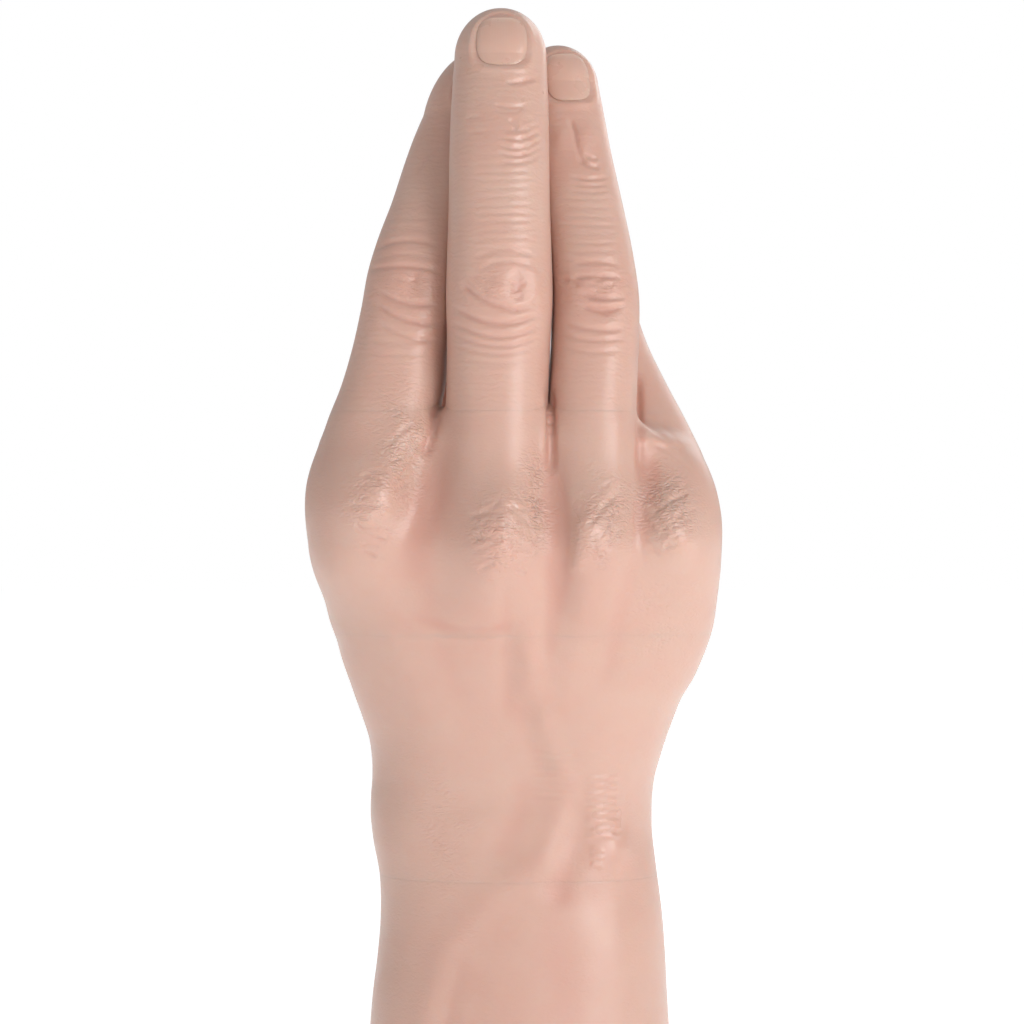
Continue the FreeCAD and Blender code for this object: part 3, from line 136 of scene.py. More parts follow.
@dataclass(frozen=True)
class Limb:
    """A limb as level slices, each a slightly squared ellipse, with a domed top and an open-ended foot.

    Args:
        rows: height, centre x, centre y, half width, half depth of each slice, upwards.
        top: height of the dome's highest point.
        foot: height of the lowest point of a domed foot, or None for a straight foot.
        fullness: exponent of the slice's outline; 2 is an ellipse.
    """

    rows: tuple[tuple[float, float, float, float, float], ...]
    top: float
    foot: float | None = None
    fullness: float = 2.25

    def slices(self, height: np.ndarray) -> list[np.ndarray]:
        """Centre x, centre y, half width and half depth at each height, on smooth curves through the rows.

        Returns:
            Four arrays shaped like height. The curve is the cubic Hermite spline with central slopes.
        """
        rows = np.array(self.rows)
        z = rows[:, 0]
        inner = np.clip(height, z[0], z[-1])
        i = np.clip(np.searchsorted(z, inner) - 1, 0, len(z) - 2)
        span = z[i + 1] - z[i]
        t = (inner - z[i]) / span
        found = []
        for values in rows[:, 1:].T:
            slope = np.gradient(values, z)
            found.append(
                (2 * t**3 - 3 * t**2 + 1) * values[i]
                + (t**3 - 2 * t**2 + t) * span * slope[i]
                + (3 * t**2 - 2 * t**3) * values[i + 1]
                + (t**3 - t**2) * span * slope[i + 1]
            )
        last_x = (rows[-1, 1] - rows[-2, 1]) / (z[-1] - z[-2])
        last_y = (rows[-1, 2] - rows[-2, 2]) / (z[-1] - z[-2])
        over = np.maximum(height - z[-1], 0.0) * 0.6
        found[0] = found[0] + last_x * over
        found[1] = found[1] + last_y * over
        return found

    def distance(self, p: Points) -> np.ndarray:
        """Signed distance along the ray from the slice's centre: |q| (1 - 1 / r), r the outline's own radius.

        Above the last slice and below the first, r also counts the height over the dome's height.

        Args:
            p: points, with x, y and z last.

        Returns:
            The distance at each point, negative inside.
        """
        height = p[..., 2]
        cx, cy, wide, deep = self.slices(height)
        u, v = p[..., 0] - cx, p[..., 1] - cy
        last = self.rows[-1][0]
        w = np.maximum(height - last, 0.0)
        tall = np.full_like(w, self.top - last)
        if self.foot is not None:
            first = self.rows[0][0]
            under = np.maximum(first - height, 0.0)
            tall = np.where(under > 0, first - self.foot, tall)
            w = w + under
        n = self.fullness
        around = (np.abs(u / wide) ** n + np.abs(v / deep) ** n) ** (1 / n)
        radius = np.maximum(np.hypot(around, w / tall), 1e-4)
        reach = np.sqrt(u * u + v * v + w * w)
        return reach * (1 - 1 / radius)


@dataclass(frozen=True)
class Mound:
    """A soft swelling: an ellipsoid with a centre and three half sizes."""

    centre: tuple[float, float, float]
    half: tuple[float, float, float]

    def distance(self, p: Points) -> np.ndarray:
        """Signed distance along the ray from the centre: |q| (1 - 1 / r)."""
        q = p - np.array(self.centre)
        radius = np.maximum(np.linalg.norm(q / np.array(self.half), axis=-1), 1e-4)
        return np.linalg.norm(q, axis=-1) * (1 - 1 / radius)


# ---------------------------------------------------------------- skin relief


@dataclass(frozen=True)
class Crease:
    """A groove, or a ridge if depth is negative, seen from the back of the hand.

    Args:
        start: x and height of one end.
        end: x and height of the other end.
        sag: how far the arc's middle stands to the left of the chord from start to end.
        depth: depth in millimetres.
        width: half width of the groove's bell-shaped cross-section.
    """

    start: tuple[float, float]
    end: tuple[float, float]
    sag: float = 0.0
    depth: float = 0.3
    width: float = 0.6

    def relief(self, x: np.ndarray, z: np.ndarray) -> np.ndarray:
        """Height change: -depth exp(-(d / width)^2), d the distance to the parabola v = 4 sag u (1 - u)."""
        a, b = np.array(self.start), np.array(self.end)
        chord = b - a
        length = float(np.hypot(*chord))
        ux, uz = chord / length
        u = ((x - a[0]) * ux + (z - a[1]) * uz) / length
        v = (z - a[1]) * ux - (x - a[0]) * uz
        inside = np.clip(u, 0.0, 1.0)
        slope = 4 * self.sag * (1 - 2 * inside) / length
        off = (v - 4 * self.sag * inside * (1 - inside)) / np.sqrt(1 + slope**2)
        beyond = (u - inside) * length
        fade = ramp(u, -0.08, 0.18) * (1 - ramp(u, 0.82, 1.08))
        return -self.depth * fade * np.exp(-(off**2 + beyond**2) / self.width**2)


@dataclass(frozen=True)
class Swelling:
    """A raised spot, or a hollow if height is negative: a turned two-way bell seen from the back of the hand."""

    centre: tuple[float, float]
    half: tuple[float, float]
    height: float
    turn: float = 0.0

    def relief(self, x: np.ndarray, z: np.ndarray) -> np.ndarray:
        """height exp(-(a^2 + b^2)), a and b the turned coordinates over the half sizes."""
        c, s = math.cos(math.radians(self.turn)), math.sin(math.radians(self.turn))
        dx, dz = x - self.centre[0], z - self.centre[1]
        a, b = (dx * c + dz * s) / self.half[0], (dz * c - dx * s) / self.half[1]
        return self.height * np.exp(-(a * a + b * b))


# ---------------------------------------------------------------- the form of the hand


class Digit(Enum):
    """The five digits, by the CAD nodes' own prefix."""

    INDEX = "index"
    MIDDLE = "middle"
    RING = "ring"
    LITTLE = "little"
    THUMB = "thumb"


@dataclass(frozen=True)
class Nail:
    """One nail: a curved plate that follows its fingertip, set in a shallow bed of the skin.

    Args:
        digit: whose nail it is.
        body: the CAD body it rides on.
        centre: height of the plate's middle.
        half_width: half its width.
        half_length: half its length along the finger.
        turn: which way it faces, in degrees from the back of the hand towards the thumb side.
        thickness: the plate's thickness.
    """

    digit: Digit
    body: str
    centre: float
    half_width: float
    half_length: float
    turn: float
    thickness: float = 0.5

    def frame(self, limb: Limb) -> tuple[np.ndarray, np.ndarray, np.ndarray, np.ndarray, float]:
        """The plate's own frame on its fingertip.

        Returns:
            The finger's centre at the plate's height, the directions across, outwards and along,
            and the finger's mean radius there.
        """
        cx, cy, wide, deep = (float(v) for v in limb.slices(np.array(self.centre)))
        above = [float(v) for v in limb.slices(np.array(self.centre + 4.0))]
        below = [float(v) for v in limb.slices(np.array(self.centre - 4.0))]
        axis = np.array([above[0] - below[0], above[1] - below[1], 8.0])
        axis /= np.linalg.norm(axis)
        angle = math.radians(self.turn)
        facing = np.array([-math.sin(angle), -math.cos(angle), 0.0])
        facing -= axis * (facing @ axis)
        facing /= np.linalg.norm(facing)
        side = np.cross(axis, facing)
        return np.array([cx, cy, self.centre]), side, facing, axis, (wide + deep) / 2

    def bed(self, limb: Limb, p: Points) -> np.ndarray:
        """Relief of the skin round the plate: a sunk bed, a narrow groove at its rim and a soft fold outside.

        With a and b the place across and along over the half sizes, r = (|a|^3.2 + |b|^3.2)^(1/3.2);
        the groove and the fold fade out towards the plate's free edge, where b nears 1.

        Args:
            limb: the digit the nail is on.
            p: skin points of any digit.

        Returns:
            The height change at each point; 0 away from this digit.
        """
        centre, side, facing, axis, reach = self.frame(limb)
        q = p - centre
        out = q @ facing
        a = np.arctan2(q @ side, np.maximum(out, 1e-3)) * reach / self.half_width
        b = (q @ axis) / self.half_length
        r = (np.abs(a) ** 3.2 + np.abs(b) ** 3.2) ** (1 / 3.2)
        open_end = 1 - ramp(b, 0.45, 0.95)
        bed = -0.34 * (1 - ramp(r, 0.96, 1.03))
        groove = -0.22 * bump(r, 1.03, 0.05) * open_end
        fold = 0.24 * bump(r, 1.2, 0.12) * open_end
        own = 1 - ramp(np.abs(limb.distance(p)), 0.3, 0.8)
        return (bed + groove + fold) * own * (out > 0) * (r < 2)

    def build(self, form: HandForm, material: bpy.types.Material) -> bpy.types.Object:
        """A closed plate with rounded rims.

        Points of a polar grid run from the middle to the squared outline |cos|^0.62, |sin|^0.62 and are
        settled on the fingertip; the upper face stands a little proud in the middle and dips at the rim.

        Args:
            form: the hand's form, with the digit to follow.
            material: the nails' finish.

        Returns:
            The finished plate.
        """
        limb = form.digits[self.digit]
        centre, side, facing, axis, reach = self.frame(limb)
        around, rings = 120, 30
        theta = np.linspace(0, 2 * math.pi, around, endpoint=False)
        share = np.sin(np.linspace(0.03, 1.0, rings) * math.pi / 2)
        c, s = np.cos(theta), np.sin(theta)
        u = np.outer(share, np.sign(c) * np.abs(c) ** 0.62)
        v = np.outer(share, np.sign(s) * np.abs(s) ** 0.62)
        curve = u * (0.95 + 0.06 * v) * self.half_width / reach
        flat = (
            centre
            + (np.sin(curve) * reach)[..., None] * side
            + (np.cos(curve) * reach)[..., None] * facing
            + (v * self.half_length)[..., None] * axis
        ).reshape(-1, 3)
        skin, normal = settle(limb.distance, flat, 6, 2.0)
        rim = np.repeat(share, around) ** 8
        free = np.clip(v.ravel(), 0, 1) ** 6
        lift = 0.06 - 0.2 * rim * (1 - free) + 0.1 * free
        top = skin + normal * lift[:, None]
        under = skin + normal * (lift - self.thickness * (1 - 0.6 * rim))[:, None]
        upper = ring_faces(rings, around)
        shift = rings * around
        j = np.arange(around)
        nxt = (j + 1) % around
        last = (rings - 1) * around
        edge = np.stack([last + j, last + j + shift, last + nxt + shift, last + nxt], -1)
        points = np.concatenate([top, under, [top[:around].mean(0)], [under[:around].mean(0)]])
        hub = np.full(around, len(points) - 2)
        fans = [np.stack([hub, j, nxt], -1), np.stack([hub + 1, nxt + shift, j + shift], -1)]
        faces = [f.tolist() for part in (upper, upper[:, ::-1] + shift, edge, *fans) for f in part]
        name = f"nail_{self.digit.value}"
        mesh = bpy.data.meshes.new(name)
        mesh.from_pydata((points * MM).tolist(), [], faces)
        obj = adopt(mesh, points)
        add_mask(obj, "along", np.concatenate([v.ravel(), v.ravel(), [0, 0]]) * 0.5 + 0.5)
        add_mask(obj, "across", np.concatenate([u.ravel(), u.ravel(), [0, 0]]))
        mesh.materials.append(material)
        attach(obj, self.body)
        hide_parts(f"{self.digit.value}_nail")
        log.info("%s: %d faces", name, len(faces))
        return obj


@dataclass(frozen=True)
class HandForm:
    """The outer form of forearm, palm, fingers and thumb, with its relief, in millimetres."""

    arm: Limb = Limb(
        rows=(
            (0.0, 0.5, 0.0, 32.8, 24.8),
            (25.0, 0.7, 0.0, 31.6, 23.9),
            (46.0, 0.9, 0.0, 30.5, 23.0),
            (54.6, 1.0, 0.0, 29.9, 22.5),
            (62.6, 1.3, 0.0, 29.2, 22.0),
            (70.6, 1.3, -0.1, 28.6, 21.5),
            (78.6, 0.7, -0.3, 28.2, 20.9),
            (86.6, -0.5, -0.5, 28.4, 20.3),
            (91.0, -0.9, -0.8, 28.4, 20.0),
            (95.0, -1.0, -1.0, 28.1, 19.7),
            (98.6, -0.7, -1.4, 27.8, 19.6),
            (102.6, 0.0, -2.1, 28.2, 19.7),
            (106.6, 0.5, -3.0, 29.2, 19.8),
            (110.6, 0.6, -4.1, 30.9, 19.9),
            (114.6, 0.7, -5.4, 32.7, 20.0),
            (118.6, 1.2, -7.0, 34.6, 19.9),
            (122.6, 1.4, -8.8, 36.1, 19.6),
            (126.6, 1.6, -10.6, 37.3, 19.3),
            (130.6, 1.4, -12.5, 38.4, 18.9),
            (136.0, 0.9, -15.6, 38.9, 18.0),
            (141.0, 0.5, -18.8, 39.0, 16.9),
            (146.0, 0.2, -20.9, 38.9, 15.4),
            (150.0, 0.0, -21.4, 38.7, 13.8),
            (154.0, -0.3, -21.2, 38.2, 12.2),
            (157.0, -0.5, -20.8, 37.4, 11.1),
            (160.0, -0.7, -20.4, 36.0, 10.1),
            (163.0, -0.8, -20.1, 34.0, 9.3),
            (165.0, -0.8, -20.0, 32.4, 9.0),
        ),
        top=171.5,
        fullness=2.3,
    )
    digits: dict[Digit, Limb] = field(
        default_factory=lambda: {
            Digit.INDEX: Limb(
                rows=(
                    (146.0, -29.8, -22.5, 9.3, 10.6),
                    (152.0, -29.5, -22.0, 10.4, 11.4),
                    (158.6, -29.1, -20.9, 10.9, 11.5),
                    (165.0, -27.7, -19.7, 11.0, 11.2),
                    (170.6, -26.1, -18.5, 10.9, 10.7),
                    (176.6, -24.3, -17.1, 10.4, 10.2),
                    (184.6, -22.8, -15.4, 9.6, 9.8),
                    (192.6, -21.1, -13.8, 9.6, 9.7),
                    (200.6, -19.7, -12.0, 9.6, 9.6),
                    (206.6, -18.3, -9.9, 9.3, 9.2),
                    (214.6, -15.8, -6.4, 9.0, 8.8),
                    (222.6, -13.6, -2.9, 8.8, 8.4),
                    (228.0, -12.0, -0.8, 8.6, 8.1),
                    (233.0, -10.4, 0.9, 8.2, 7.8),
                ),
                top=246.4,
                foot=136.0,
            ),
            Digit.MIDDLE: Limb(
                rows=(
                    (140.0, -5.0, -22.0, 9.6, 13.2),
                    (152.0, -4.9, -22.6, 10.2, 13.4),
                    (163.0, -4.0, -23.0, 10.3, 12.4),
                    (174.6, -3.5, -23.1, 10.1, 11.2),
                    (186.0, -3.2, -23.0, 10.2, 10.7),
                    (194.6, -3.1, -22.7, 10.5, 10.7),
                    (203.0, -3.1, -21.9, 10.3, 10.3),
                    (213.0, -3.1, -20.2, 10.0, 9.8),
                    (224.6, -3.1, -17.4, 9.9, 9.5),
                    (235.0, -3.0, -14.3, 9.6, 8.9),
                    (243.0, -2.9, -11.9, 9.2, 8.2),
                ),
                top=253.2,
                foot=128.0,
            ),
            Digit.RING: Limb(
                rows=(
                    (140.0, 15.2, -20.8, 8.2, 12.6),
                    (152.0, 15.2, -21.4, 8.8, 12.6),
                    (163.0, 15.2, -21.6, 8.8, 11.6),
                    (174.6, 15.2, -21.0, 8.8, 10.4),
                    (186.0, 15.8, -19.4, 8.7, 9.6),
                    (194.6, 15.9, -17.8, 8.7, 9.3),
                    (204.0, 14.9, -15.0, 8.5, 9.0),
                    (214.6, 13.1, -10.6, 8.3, 8.6),
                    (224.6, 11.3, -6.2, 8.1, 8.2),
                    (234.6, 10.0, -2.4, 7.7, 7.5),
                    (239.0, 9.4, -0.9, 7.5, 7.1),
                ),
                top=247.2,
                foot=128.0,
            ),
            Digit.LITTLE: Limb(
                rows=(
                    (143.0, 31.2, -17.6, 7.0, 10.8),
                    (152.0, 31.3, -17.0, 7.6, 10.2),
                    (161.6, 30.2, -13.8, 7.9, 9.2),
                    (169.0, 27.2, -9.2, 7.9, 8.5),
                    (178.0, 22.9, -4.2, 7.8, 8.2),
                    (186.0, 19.2, -1.0, 7.8, 8.0),
                    (196.0, 16.4, 1.4, 7.4, 7.5),
                    (206.0, 14.0, 3.2, 7.2, 7.2),
                    (214.0, 12.2, 5.8, 7.0, 6.8),
                    (219.5, 11.0, 7.8, 6.7, 6.4),
                ),
                top=228.0,
                foot=133.0,
            ),
            Digit.THUMB: Limb(
                rows=(
                    (104.0, -15.6, 2.2, 10.6, 12.2),
                    (112.0, -16.2, 3.8, 12.0, 12.7),
                    (125.0, -17.1, 6.0, 12.3, 12.3),
                    (143.0, -17.6, 8.8, 11.8, 11.6),
                    (152.0, -17.1, 9.0, 11.2, 10.9),
                    (163.0, -15.5, 9.1, 10.6, 10.3),
                    (174.0, -13.2, 9.3, 10.6, 10.2),
                    (184.0, -10.8, 8.4, 10.2, 9.5),
                    (193.0, -8.6, 6.8, 10.2, 9.0),
                    (198.5, -7.4, 5.4, 9.8, 8.5),
                ),
                top=209.0,
                foot=95.0,
            ),
        }
    )
    thenar: Mound = Mound((-12.5, 0.5, 112.0), (13.5, 17.5, 25.0))
    hypothenar: Mound = Mound((14.0, -1.5, 113.0), (13.0, 18.5, 28.0))
    knuckles: tuple[Mound, ...] = (
        Mound((-28.6, -25.0, 153.5), (8.0, 11.8, 10.0)),
        Mound((-3.4, -26.0, 147.5), (8.6, 15.0, 11.5)),
        Mound((14.8, -24.6, 146.5), (7.8, 14.0, 11.0)),
        Mound((30.0, -22.2, 148.4), (7.2, 12.6, 9.0)),
    )
    marks: tuple[Crease | Swelling, ...] = ()
    nails: tuple[Nail, ...] = ()
    ball_blend: float = 9.0
    knuckle_blend: float = 6.5
    web_blend: float = 7.0
    valley_blend: tuple[float, float] = (5.0, 0.25)
    valley_heights: tuple[float, float] = (156.0, 171.0)
    touch_gap: float = 0.06

    def palm(self, p: Points) -> np.ndarray:
        """Forearm, palm and knuckles, without digits."""
        d = self.arm.distance(p)
        d = smooth_min(d, self.thenar.distance(p), self.ball_blend)
        d = smooth_min(d, self.hypothenar.distance(p), self.ball_blend)
        for knuckle in self.knuckles:
            d = smooth_min(d, knuckle.distance(p), self.knuckle_blend)
        return d

    def fist(self, p: Points) -> np.ndarray:
        """Palm with its four fingers, which part in ever sharper valleys above the web."""
        low, high = self.valley_blend
        valley = low - (low - high) * ramp(p[..., 2], *self.valley_heights)
        fingers = [self.digits[d].distance(p) for d in list(Digit)[:4]]
        joined = fingers[0]
        for other in fingers[1:]:
            joined = smooth_min(joined, other, valley)
        return smooth_min(self.palm(p), joined, self.web_blend)

    def finger(self, digit: Digit) -> Field:
        """One finger, hollowed where its neighbour in front presses on it.

        Args:
            digit: which finger.

        Returns:
            The finger's field.
        """
        front = {
            Digit.INDEX: (Digit.MIDDLE,),
            Digit.MIDDLE: (),
            Digit.RING: (Digit.MIDDLE,),
            Digit.LITTLE: (Digit.RING,),
            Digit.THUMB: (Digit.INDEX, Digit.MIDDLE),
        }[digit]

        def inner(p: Points) -> np.ndarray:
            d = self.digits[digit].distance(p)
            for other in front:
                d = smooth_max(d, self.touch_gap - self.digits[other].distance(p), 0.5)
            return d

        return inner

    def thumb(self, p: Points) -> np.ndarray:
        """The thumb from its buried foot to its tip."""
        return self.digits[Digit.THUMB].distance(p)

    def relief(self, p: Points, normal: Points) -> np.ndarray:
        """Height of folds, creases, tendons and veins at skin points.

        Args:
            p: skin points.
            normal: outward unit normals there.

        Returns:
            The height change in millimetres; marks fade out where the skin turns away from the back.
        """
        back = ramp(-normal[:, 1], 0.1, 0.5)
        total = np.zeros(len(p))
        for mark in self.marks:
            total += mark.relief(p[:, 0], p[:, 2])
        total *= back
        for nail in self.nails:
            total += nail.bed(self.digits[nail.digit], p)
        return total


def arcs(
    x0: float, x1: float, rows: Sequence[tuple[float, float, float]], width: float = 0.5, tilt: float = 0.0
) -> list[Crease]:
    """Level folds between two sides: each row is a height, a sag and a depth.

    Args:
        x0: x of the folds' left ends.
        x1: x of their right ends.
        rows: height, sag and depth of each fold.
        width: half width of every fold.
        tilt: height gained from left to right.

    Returns:
        One crease for each row.
    """
    return [Crease((x0, z - tilt / 2), (x1, z + tilt / 2), sag, depth, width) for z, sag, depth in rows]


def finger_marks() -> list[Crease | Swelling]:
    """Folds on the backs of the four fingers, over the end joints and the middle joints."""
    marks: list[Crease | Swelling] = []
    # middle finger: end joint
    marks += [
        Crease((-1.8, 236.9), (4.4, 238.2), -0.5, 0.4, 0.45),
        Crease((-4.0, 232.2), (2.2, 231.9), -0.3, 0.28, 0.5),
        Crease((-3.8, 231.0), (1.2, 230.8), -0.2, 0.14, 0.4),
        Crease((-1.0, 229.2), (0.4, 227.2), 0.2, 0.34, 0.5),
        Crease((-9.6, 229.8), (-6.2, 229.4), 0.3, 0.2, 0.45),
        Crease((-9.4, 226.6), (-5.0, 226.2), 0.3, 0.16, 0.45),
        Swelling((1.0, 226.0), (2.0, 2.2), 0.3),
    ]
    end_folds = ((228.2, -1.1, 0.2), (226.6, -1.4, 0.34), (224.9, -1.5, 0.38), (223.3, -1.3, 0.34), (221.7, -1.0, 0.26))
    marks += arcs(-3.0, 5.2, end_folds, 0.42, 1.6)
    marks += [
        Crease((-7.8, 222.0 - 1.7 * k), (3.6, 222.0 - 1.7 * k + 0.5), -0.4 + 0.06 * k, 0.11 + 0.02 * (k % 3), 0.42)
        for k in range(13)
    ]
    # middle finger: middle joint, a ringed hollow with folds that sweep under it
    marks += [
        Swelling((0.4, 196.0), (2.0, 3.2), -0.5, 8.0),
        Swelling((-3.6, 195.6), (3.0, 2.6), 0.34),
        Crease((3.0, 200.0), (2.8, 191.6), 1.3, -0.3, 1.0),
        Crease((-6.2, 199.8), (3.2, 199.9), 1.0, 0.3, 0.5),
        Crease((-7.4, 202.0), (3.6, 202.3), 0.9, 0.26, 0.5),
        Crease((-10.6, 196.6), (-1.0, 191.6), -0.9, 0.62, 0.55),
        Crease((-1.8, 191.4), (4.6, 193.6), -0.9, 0.5, 0.55),
        Crease((-12.0, 192.0), (4.8, 190.6), -2.6, 0.56, 0.55),
        Crease((-12.0, 189.0), (5.0, 188.4), -2.6, 0.44, 0.5),
        Crease((-11.6, 186.6), (5.0, 186.4), -2.2, 0.34, 0.5),
        Crease((-11.0, 184.6), (4.6, 184.4), -1.8, 0.24, 0.5),
        Crease((-10.4, 182.4), (4.2, 182.4), -1.4, 0.16, 0.5),
        Crease((-9.0, 198.6), (-5.4, 193.8), 0.5, 0.26, 0.5),
    ]
    # ring finger: end joint with its lengthwise fold
    marks += [
        Crease((11.0, 230.8), (12.2, 225.4), 0.3, 0.5, 0.5),
        Crease((12.2, 226.0), (14.0, 221.6), -0.3, 0.42, 0.5),
        Crease((12.6, 222.6), (17.0, 220.8), -0.5, 0.4, 0.5),
        Crease((13.8, 223.6), (16.4, 222.6), -0.2, 0.3, 0.45),
        Swelling((9.2, 226.8), (1.4, 2.4), 0.4),
        Swelling((14.4, 227.6), (2.0, 2.6), 0.3),
    ]
    marks += arcs(11.0, 18.6, ((219.0, -0.7, 0.34), (217.5, -0.6, 0.28), (216.1, -0.5, 0.22)), 0.45)
    marks += [
        Crease((9.0, 214.6 - 1.8 * k), (20.0, 214.4 - 1.8 * k), -0.4, 0.1 + 0.03 * (k % 2), 0.42) for k in range(9)
    ]
    # ring finger: middle joint
    marks += arcs(11.2, 20.6, ((200.8, 0.4, 0.3), (198.2, 0.3, 0.5)), 0.5)
    marks += [
        Crease((12.6, 195.2), (21.4, 194.2), -0.7, 0.62, 0.55),
        Crease((12.8, 192.6), (21.4, 192.6), -0.8, 0.7, 0.6),
        Swelling((14.2, 196.4), (1.6, 1.3), 0.4),
        Swelling((17.6, 191.2), (2.2, 1.2), -0.45),
        Swelling((19.6, 193.4), (1.8, 0.9), 0.35),
        Crease((9.0, 189.4), (21.6, 188.2), -1.0, 0.42, 0.55),
        Crease((8.6, 187.2), (21.4, 186.2), -1.0, 0.32, 0.5),
        Crease((8.8, 184.8), (21.0, 184.0), -1.0, 0.22, 0.5),
        Crease((9.2, 198.0), (12.4, 196.4), 0.3, 0.34, 0.5),
    ]
    # index finger
    marks += [
        Crease((-29.0, 204.2), (-15.4, 205.0), 1.3, 0.34, 0.55),
        Crease((-29.4, 200.2), (-15.0, 199.8), 0.7, 0.4, 0.5),
        Crease((-28.0, 202.2), (-17.0, 202.4), 0.8, 0.16, 0.45),
        Swelling((-19.6, 198.0), (1.3, 2.0), -0.5),
        Swelling((-23.2, 197.0), (2.4, 2.4), 0.3),
        Crease((-27.4, 196.0), (-15.6, 193.2), -1.3, 0.56, 0.55),
        Crease((-27.8, 193.6), (-15.0, 189.4), -1.5, 0.48, 0.55),
        Crease((-26.6, 189.6), (-15.0, 186.0), -1.2, 0.28, 0.5),
        Crease((-19.6, 220.0), (-14.6, 226.0), 0.5, 0.2, 0.5),
    ]
    marks += wrinkles((0.4, 196.0), (1.8, 2.6), 0.4, 7, 0.2) + wrinkles((-5.0, 196.6), (2.6, 3.2), -0.5, 6, 0.12)
    marks += wrinkles((16.4, 196.2), (3.6, 2.4), 0.3, 6, 0.2) + wrinkles((9.6, 197.0), (1.6, 4.0), -0.6, 7, 0.16)
    marks += wrinkles((-20.6, 197.6), (4.0, 3.6), -0.3, 8, 0.16) + wrinkles((1.8, 226.0), (2.6, 4.0), 0.6, 7, 0.16)
    marks += arcs(-29.0, -16.0, ((208.0, 0.6, 0.1), (210.2, 0.6, 0.08), (186.0, -0.6, 0.12), (183.6, -0.6, 0.1)), 0.5)
    return marks


def wrinkles(
    centre: tuple[float, float], half: tuple[float, float], lean: float, count: int, depth: float
) -> list[Crease]:
    """A patch of short crossing wrinkles: row k lies at an even height, shifted and tilted by sines of k.

    Args:
        centre: x and height of the patch.
        half: half its width and half its height.
        lean: mean tilt of the wrinkles, in height over width.
        count: how many rows.
        depth: depth of the deepest.

    Returns:
        One crease for each row.
    """
    found = []
    for k in range(count):
        t = 2 * (k + 0.5) / count - 1
        reach = half[0] * math.sqrt(max(1 - t * t, 0.1)) * (0.75 + 0.2 * math.sin(2.7 * k + 1))
        x = centre[0] + 0.22 * half[0] * math.sin(1.9 * k + half[0])
        z = centre[1] + half[1] * t
        slope = lean + 0.28 * math.sin(2.3 * k + centre[0])
        rise = reach * slope
        sag = 0.35 * math.sin(1.3 * k)
        deep = depth * (0.65 + 0.35 * math.cos(1.7 * k))
        found.append(Crease((x - reach, z - rise), (x + reach, z + rise), sag, deep, 0.42))
    return found


def knuckle_marks() -> list[Crease | Swelling]:
    """Knuckle crowns with their wrinkles, the hollows between them, the lines where neighbouring fingers part."""
    marks: list[Crease | Swelling] = [
        Crease((-20.6, 172.0), (-28.6, 149.0), 1.0, -0.7, 3.4),
        Swelling((-17.4, 153.0), (4.6, 12.0), -0.7, -14.0),
        Crease((-15.4, 173.0), (-17.8, 163.0), 0.3, 0.7, 1.0),
        Swelling((-4.6, 145.0), (4.4, 5.6), 0.8),
        Swelling((-1.2, 152.0), (4.4, 9.0), 0.7),
        Swelling((8.2, 150.0), (2.8, 12.0), -0.9, 6.0),
        Crease((5.6, 176.0), (5.4, 163.0), 0.1, -0.35, 0.7),
        Crease((6.8, 177.0), (7.0, 160.0), 0.1, 0.9, 0.8),
        Crease((13.4, 152.0), (11.6, 140.0), 0.3, -0.7, 1.9),
        Swelling((17.6, 152.0), (3.6, 8.0), 0.5),
        Crease((20.6, 172.0), (19.4, 155.0), 0.2, -0.3, 1.8),
        Crease((24.6, 180.0), (24.8, 159.0), -0.2, 0.8, 0.9),
        Swelling((26.4, 159.6), (2.2, 5.0), -0.8, 6.0),
        Swelling((24.2, 150.0), (2.2, 6.6), -0.6),
        Swelling((32.4, 146.6), (3.2, 3.4), 0.9),
        Swelling((30.6, 153.0), (3.6, 5.4), 0.4),
        Crease((26.0, 172.0), (33.0, 164.6), 0.5, 0.14, 0.6),
        Crease((26.0, 169.4), (34.6, 161.8), 0.5, 0.16, 0.6),
        Crease((26.6, 166.0), (35.2, 159.6), 0.5, 0.14, 0.6),
        Crease((-21.6, 132.2), (-0.6, 129.6), -1.6, 0.3, 1.2),
        Crease((-20.6, 130.2), (-2.0, 127.6), -1.5, -0.25, 1.5),
        Crease((-2.0, 142.0), (-1.6, 110.0), 0.3, 0.3, 2.0),
        Crease((3.2, 140.0), (2.2, 114.0), 0.3, -0.3, 2.2),
        Crease((8.0, 144.0), (6.0, 122.0), 0.4, 0.4, 2.6),
        Crease((14.0, 140.0), (9.0, 112.0), 0.4, -0.3, 2.8),
        Crease((22.6, 144.0), (17.0, 116.0), 0.6, 0.3, 2.6),
        Crease((-19.0, 146.0), (-9.0, 112.0), -1.0, 0.25, 3.4),
        Crease((-28.0, 142.0), (-15.0, 108.0), -1.4, -0.3, 3.2),
    ]
    marks += wrinkles((-27.6, 152.0), (4.0, 8.6), -0.25, 13, 0.34)
    marks += wrinkles((-21.6, 163.0), (3.6, 6.5), 0.7, 9, 0.24)
    marks += wrinkles((-4.8, 148.2), (3.8, 7.0), 0.35, 10, 0.38)
    marks += wrinkles((0.8, 147.6), (3.0, 7.6), -0.5, 10, 0.3)
    marks += wrinkles((3.8, 154.0), (1.8, 8.0), 1.2, 9, 0.28)
    marks += wrinkles((17.4, 149.6), (3.6, 7.6), 0.9, 11, 0.28)
    marks += wrinkles((31.0, 151.6), (4.2, 6.4), 0.6, 11, 0.32)
    marks += wrinkles((26.6, 149.4), (2.6, 5.6), -0.9, 8, 0.24)
    return marks


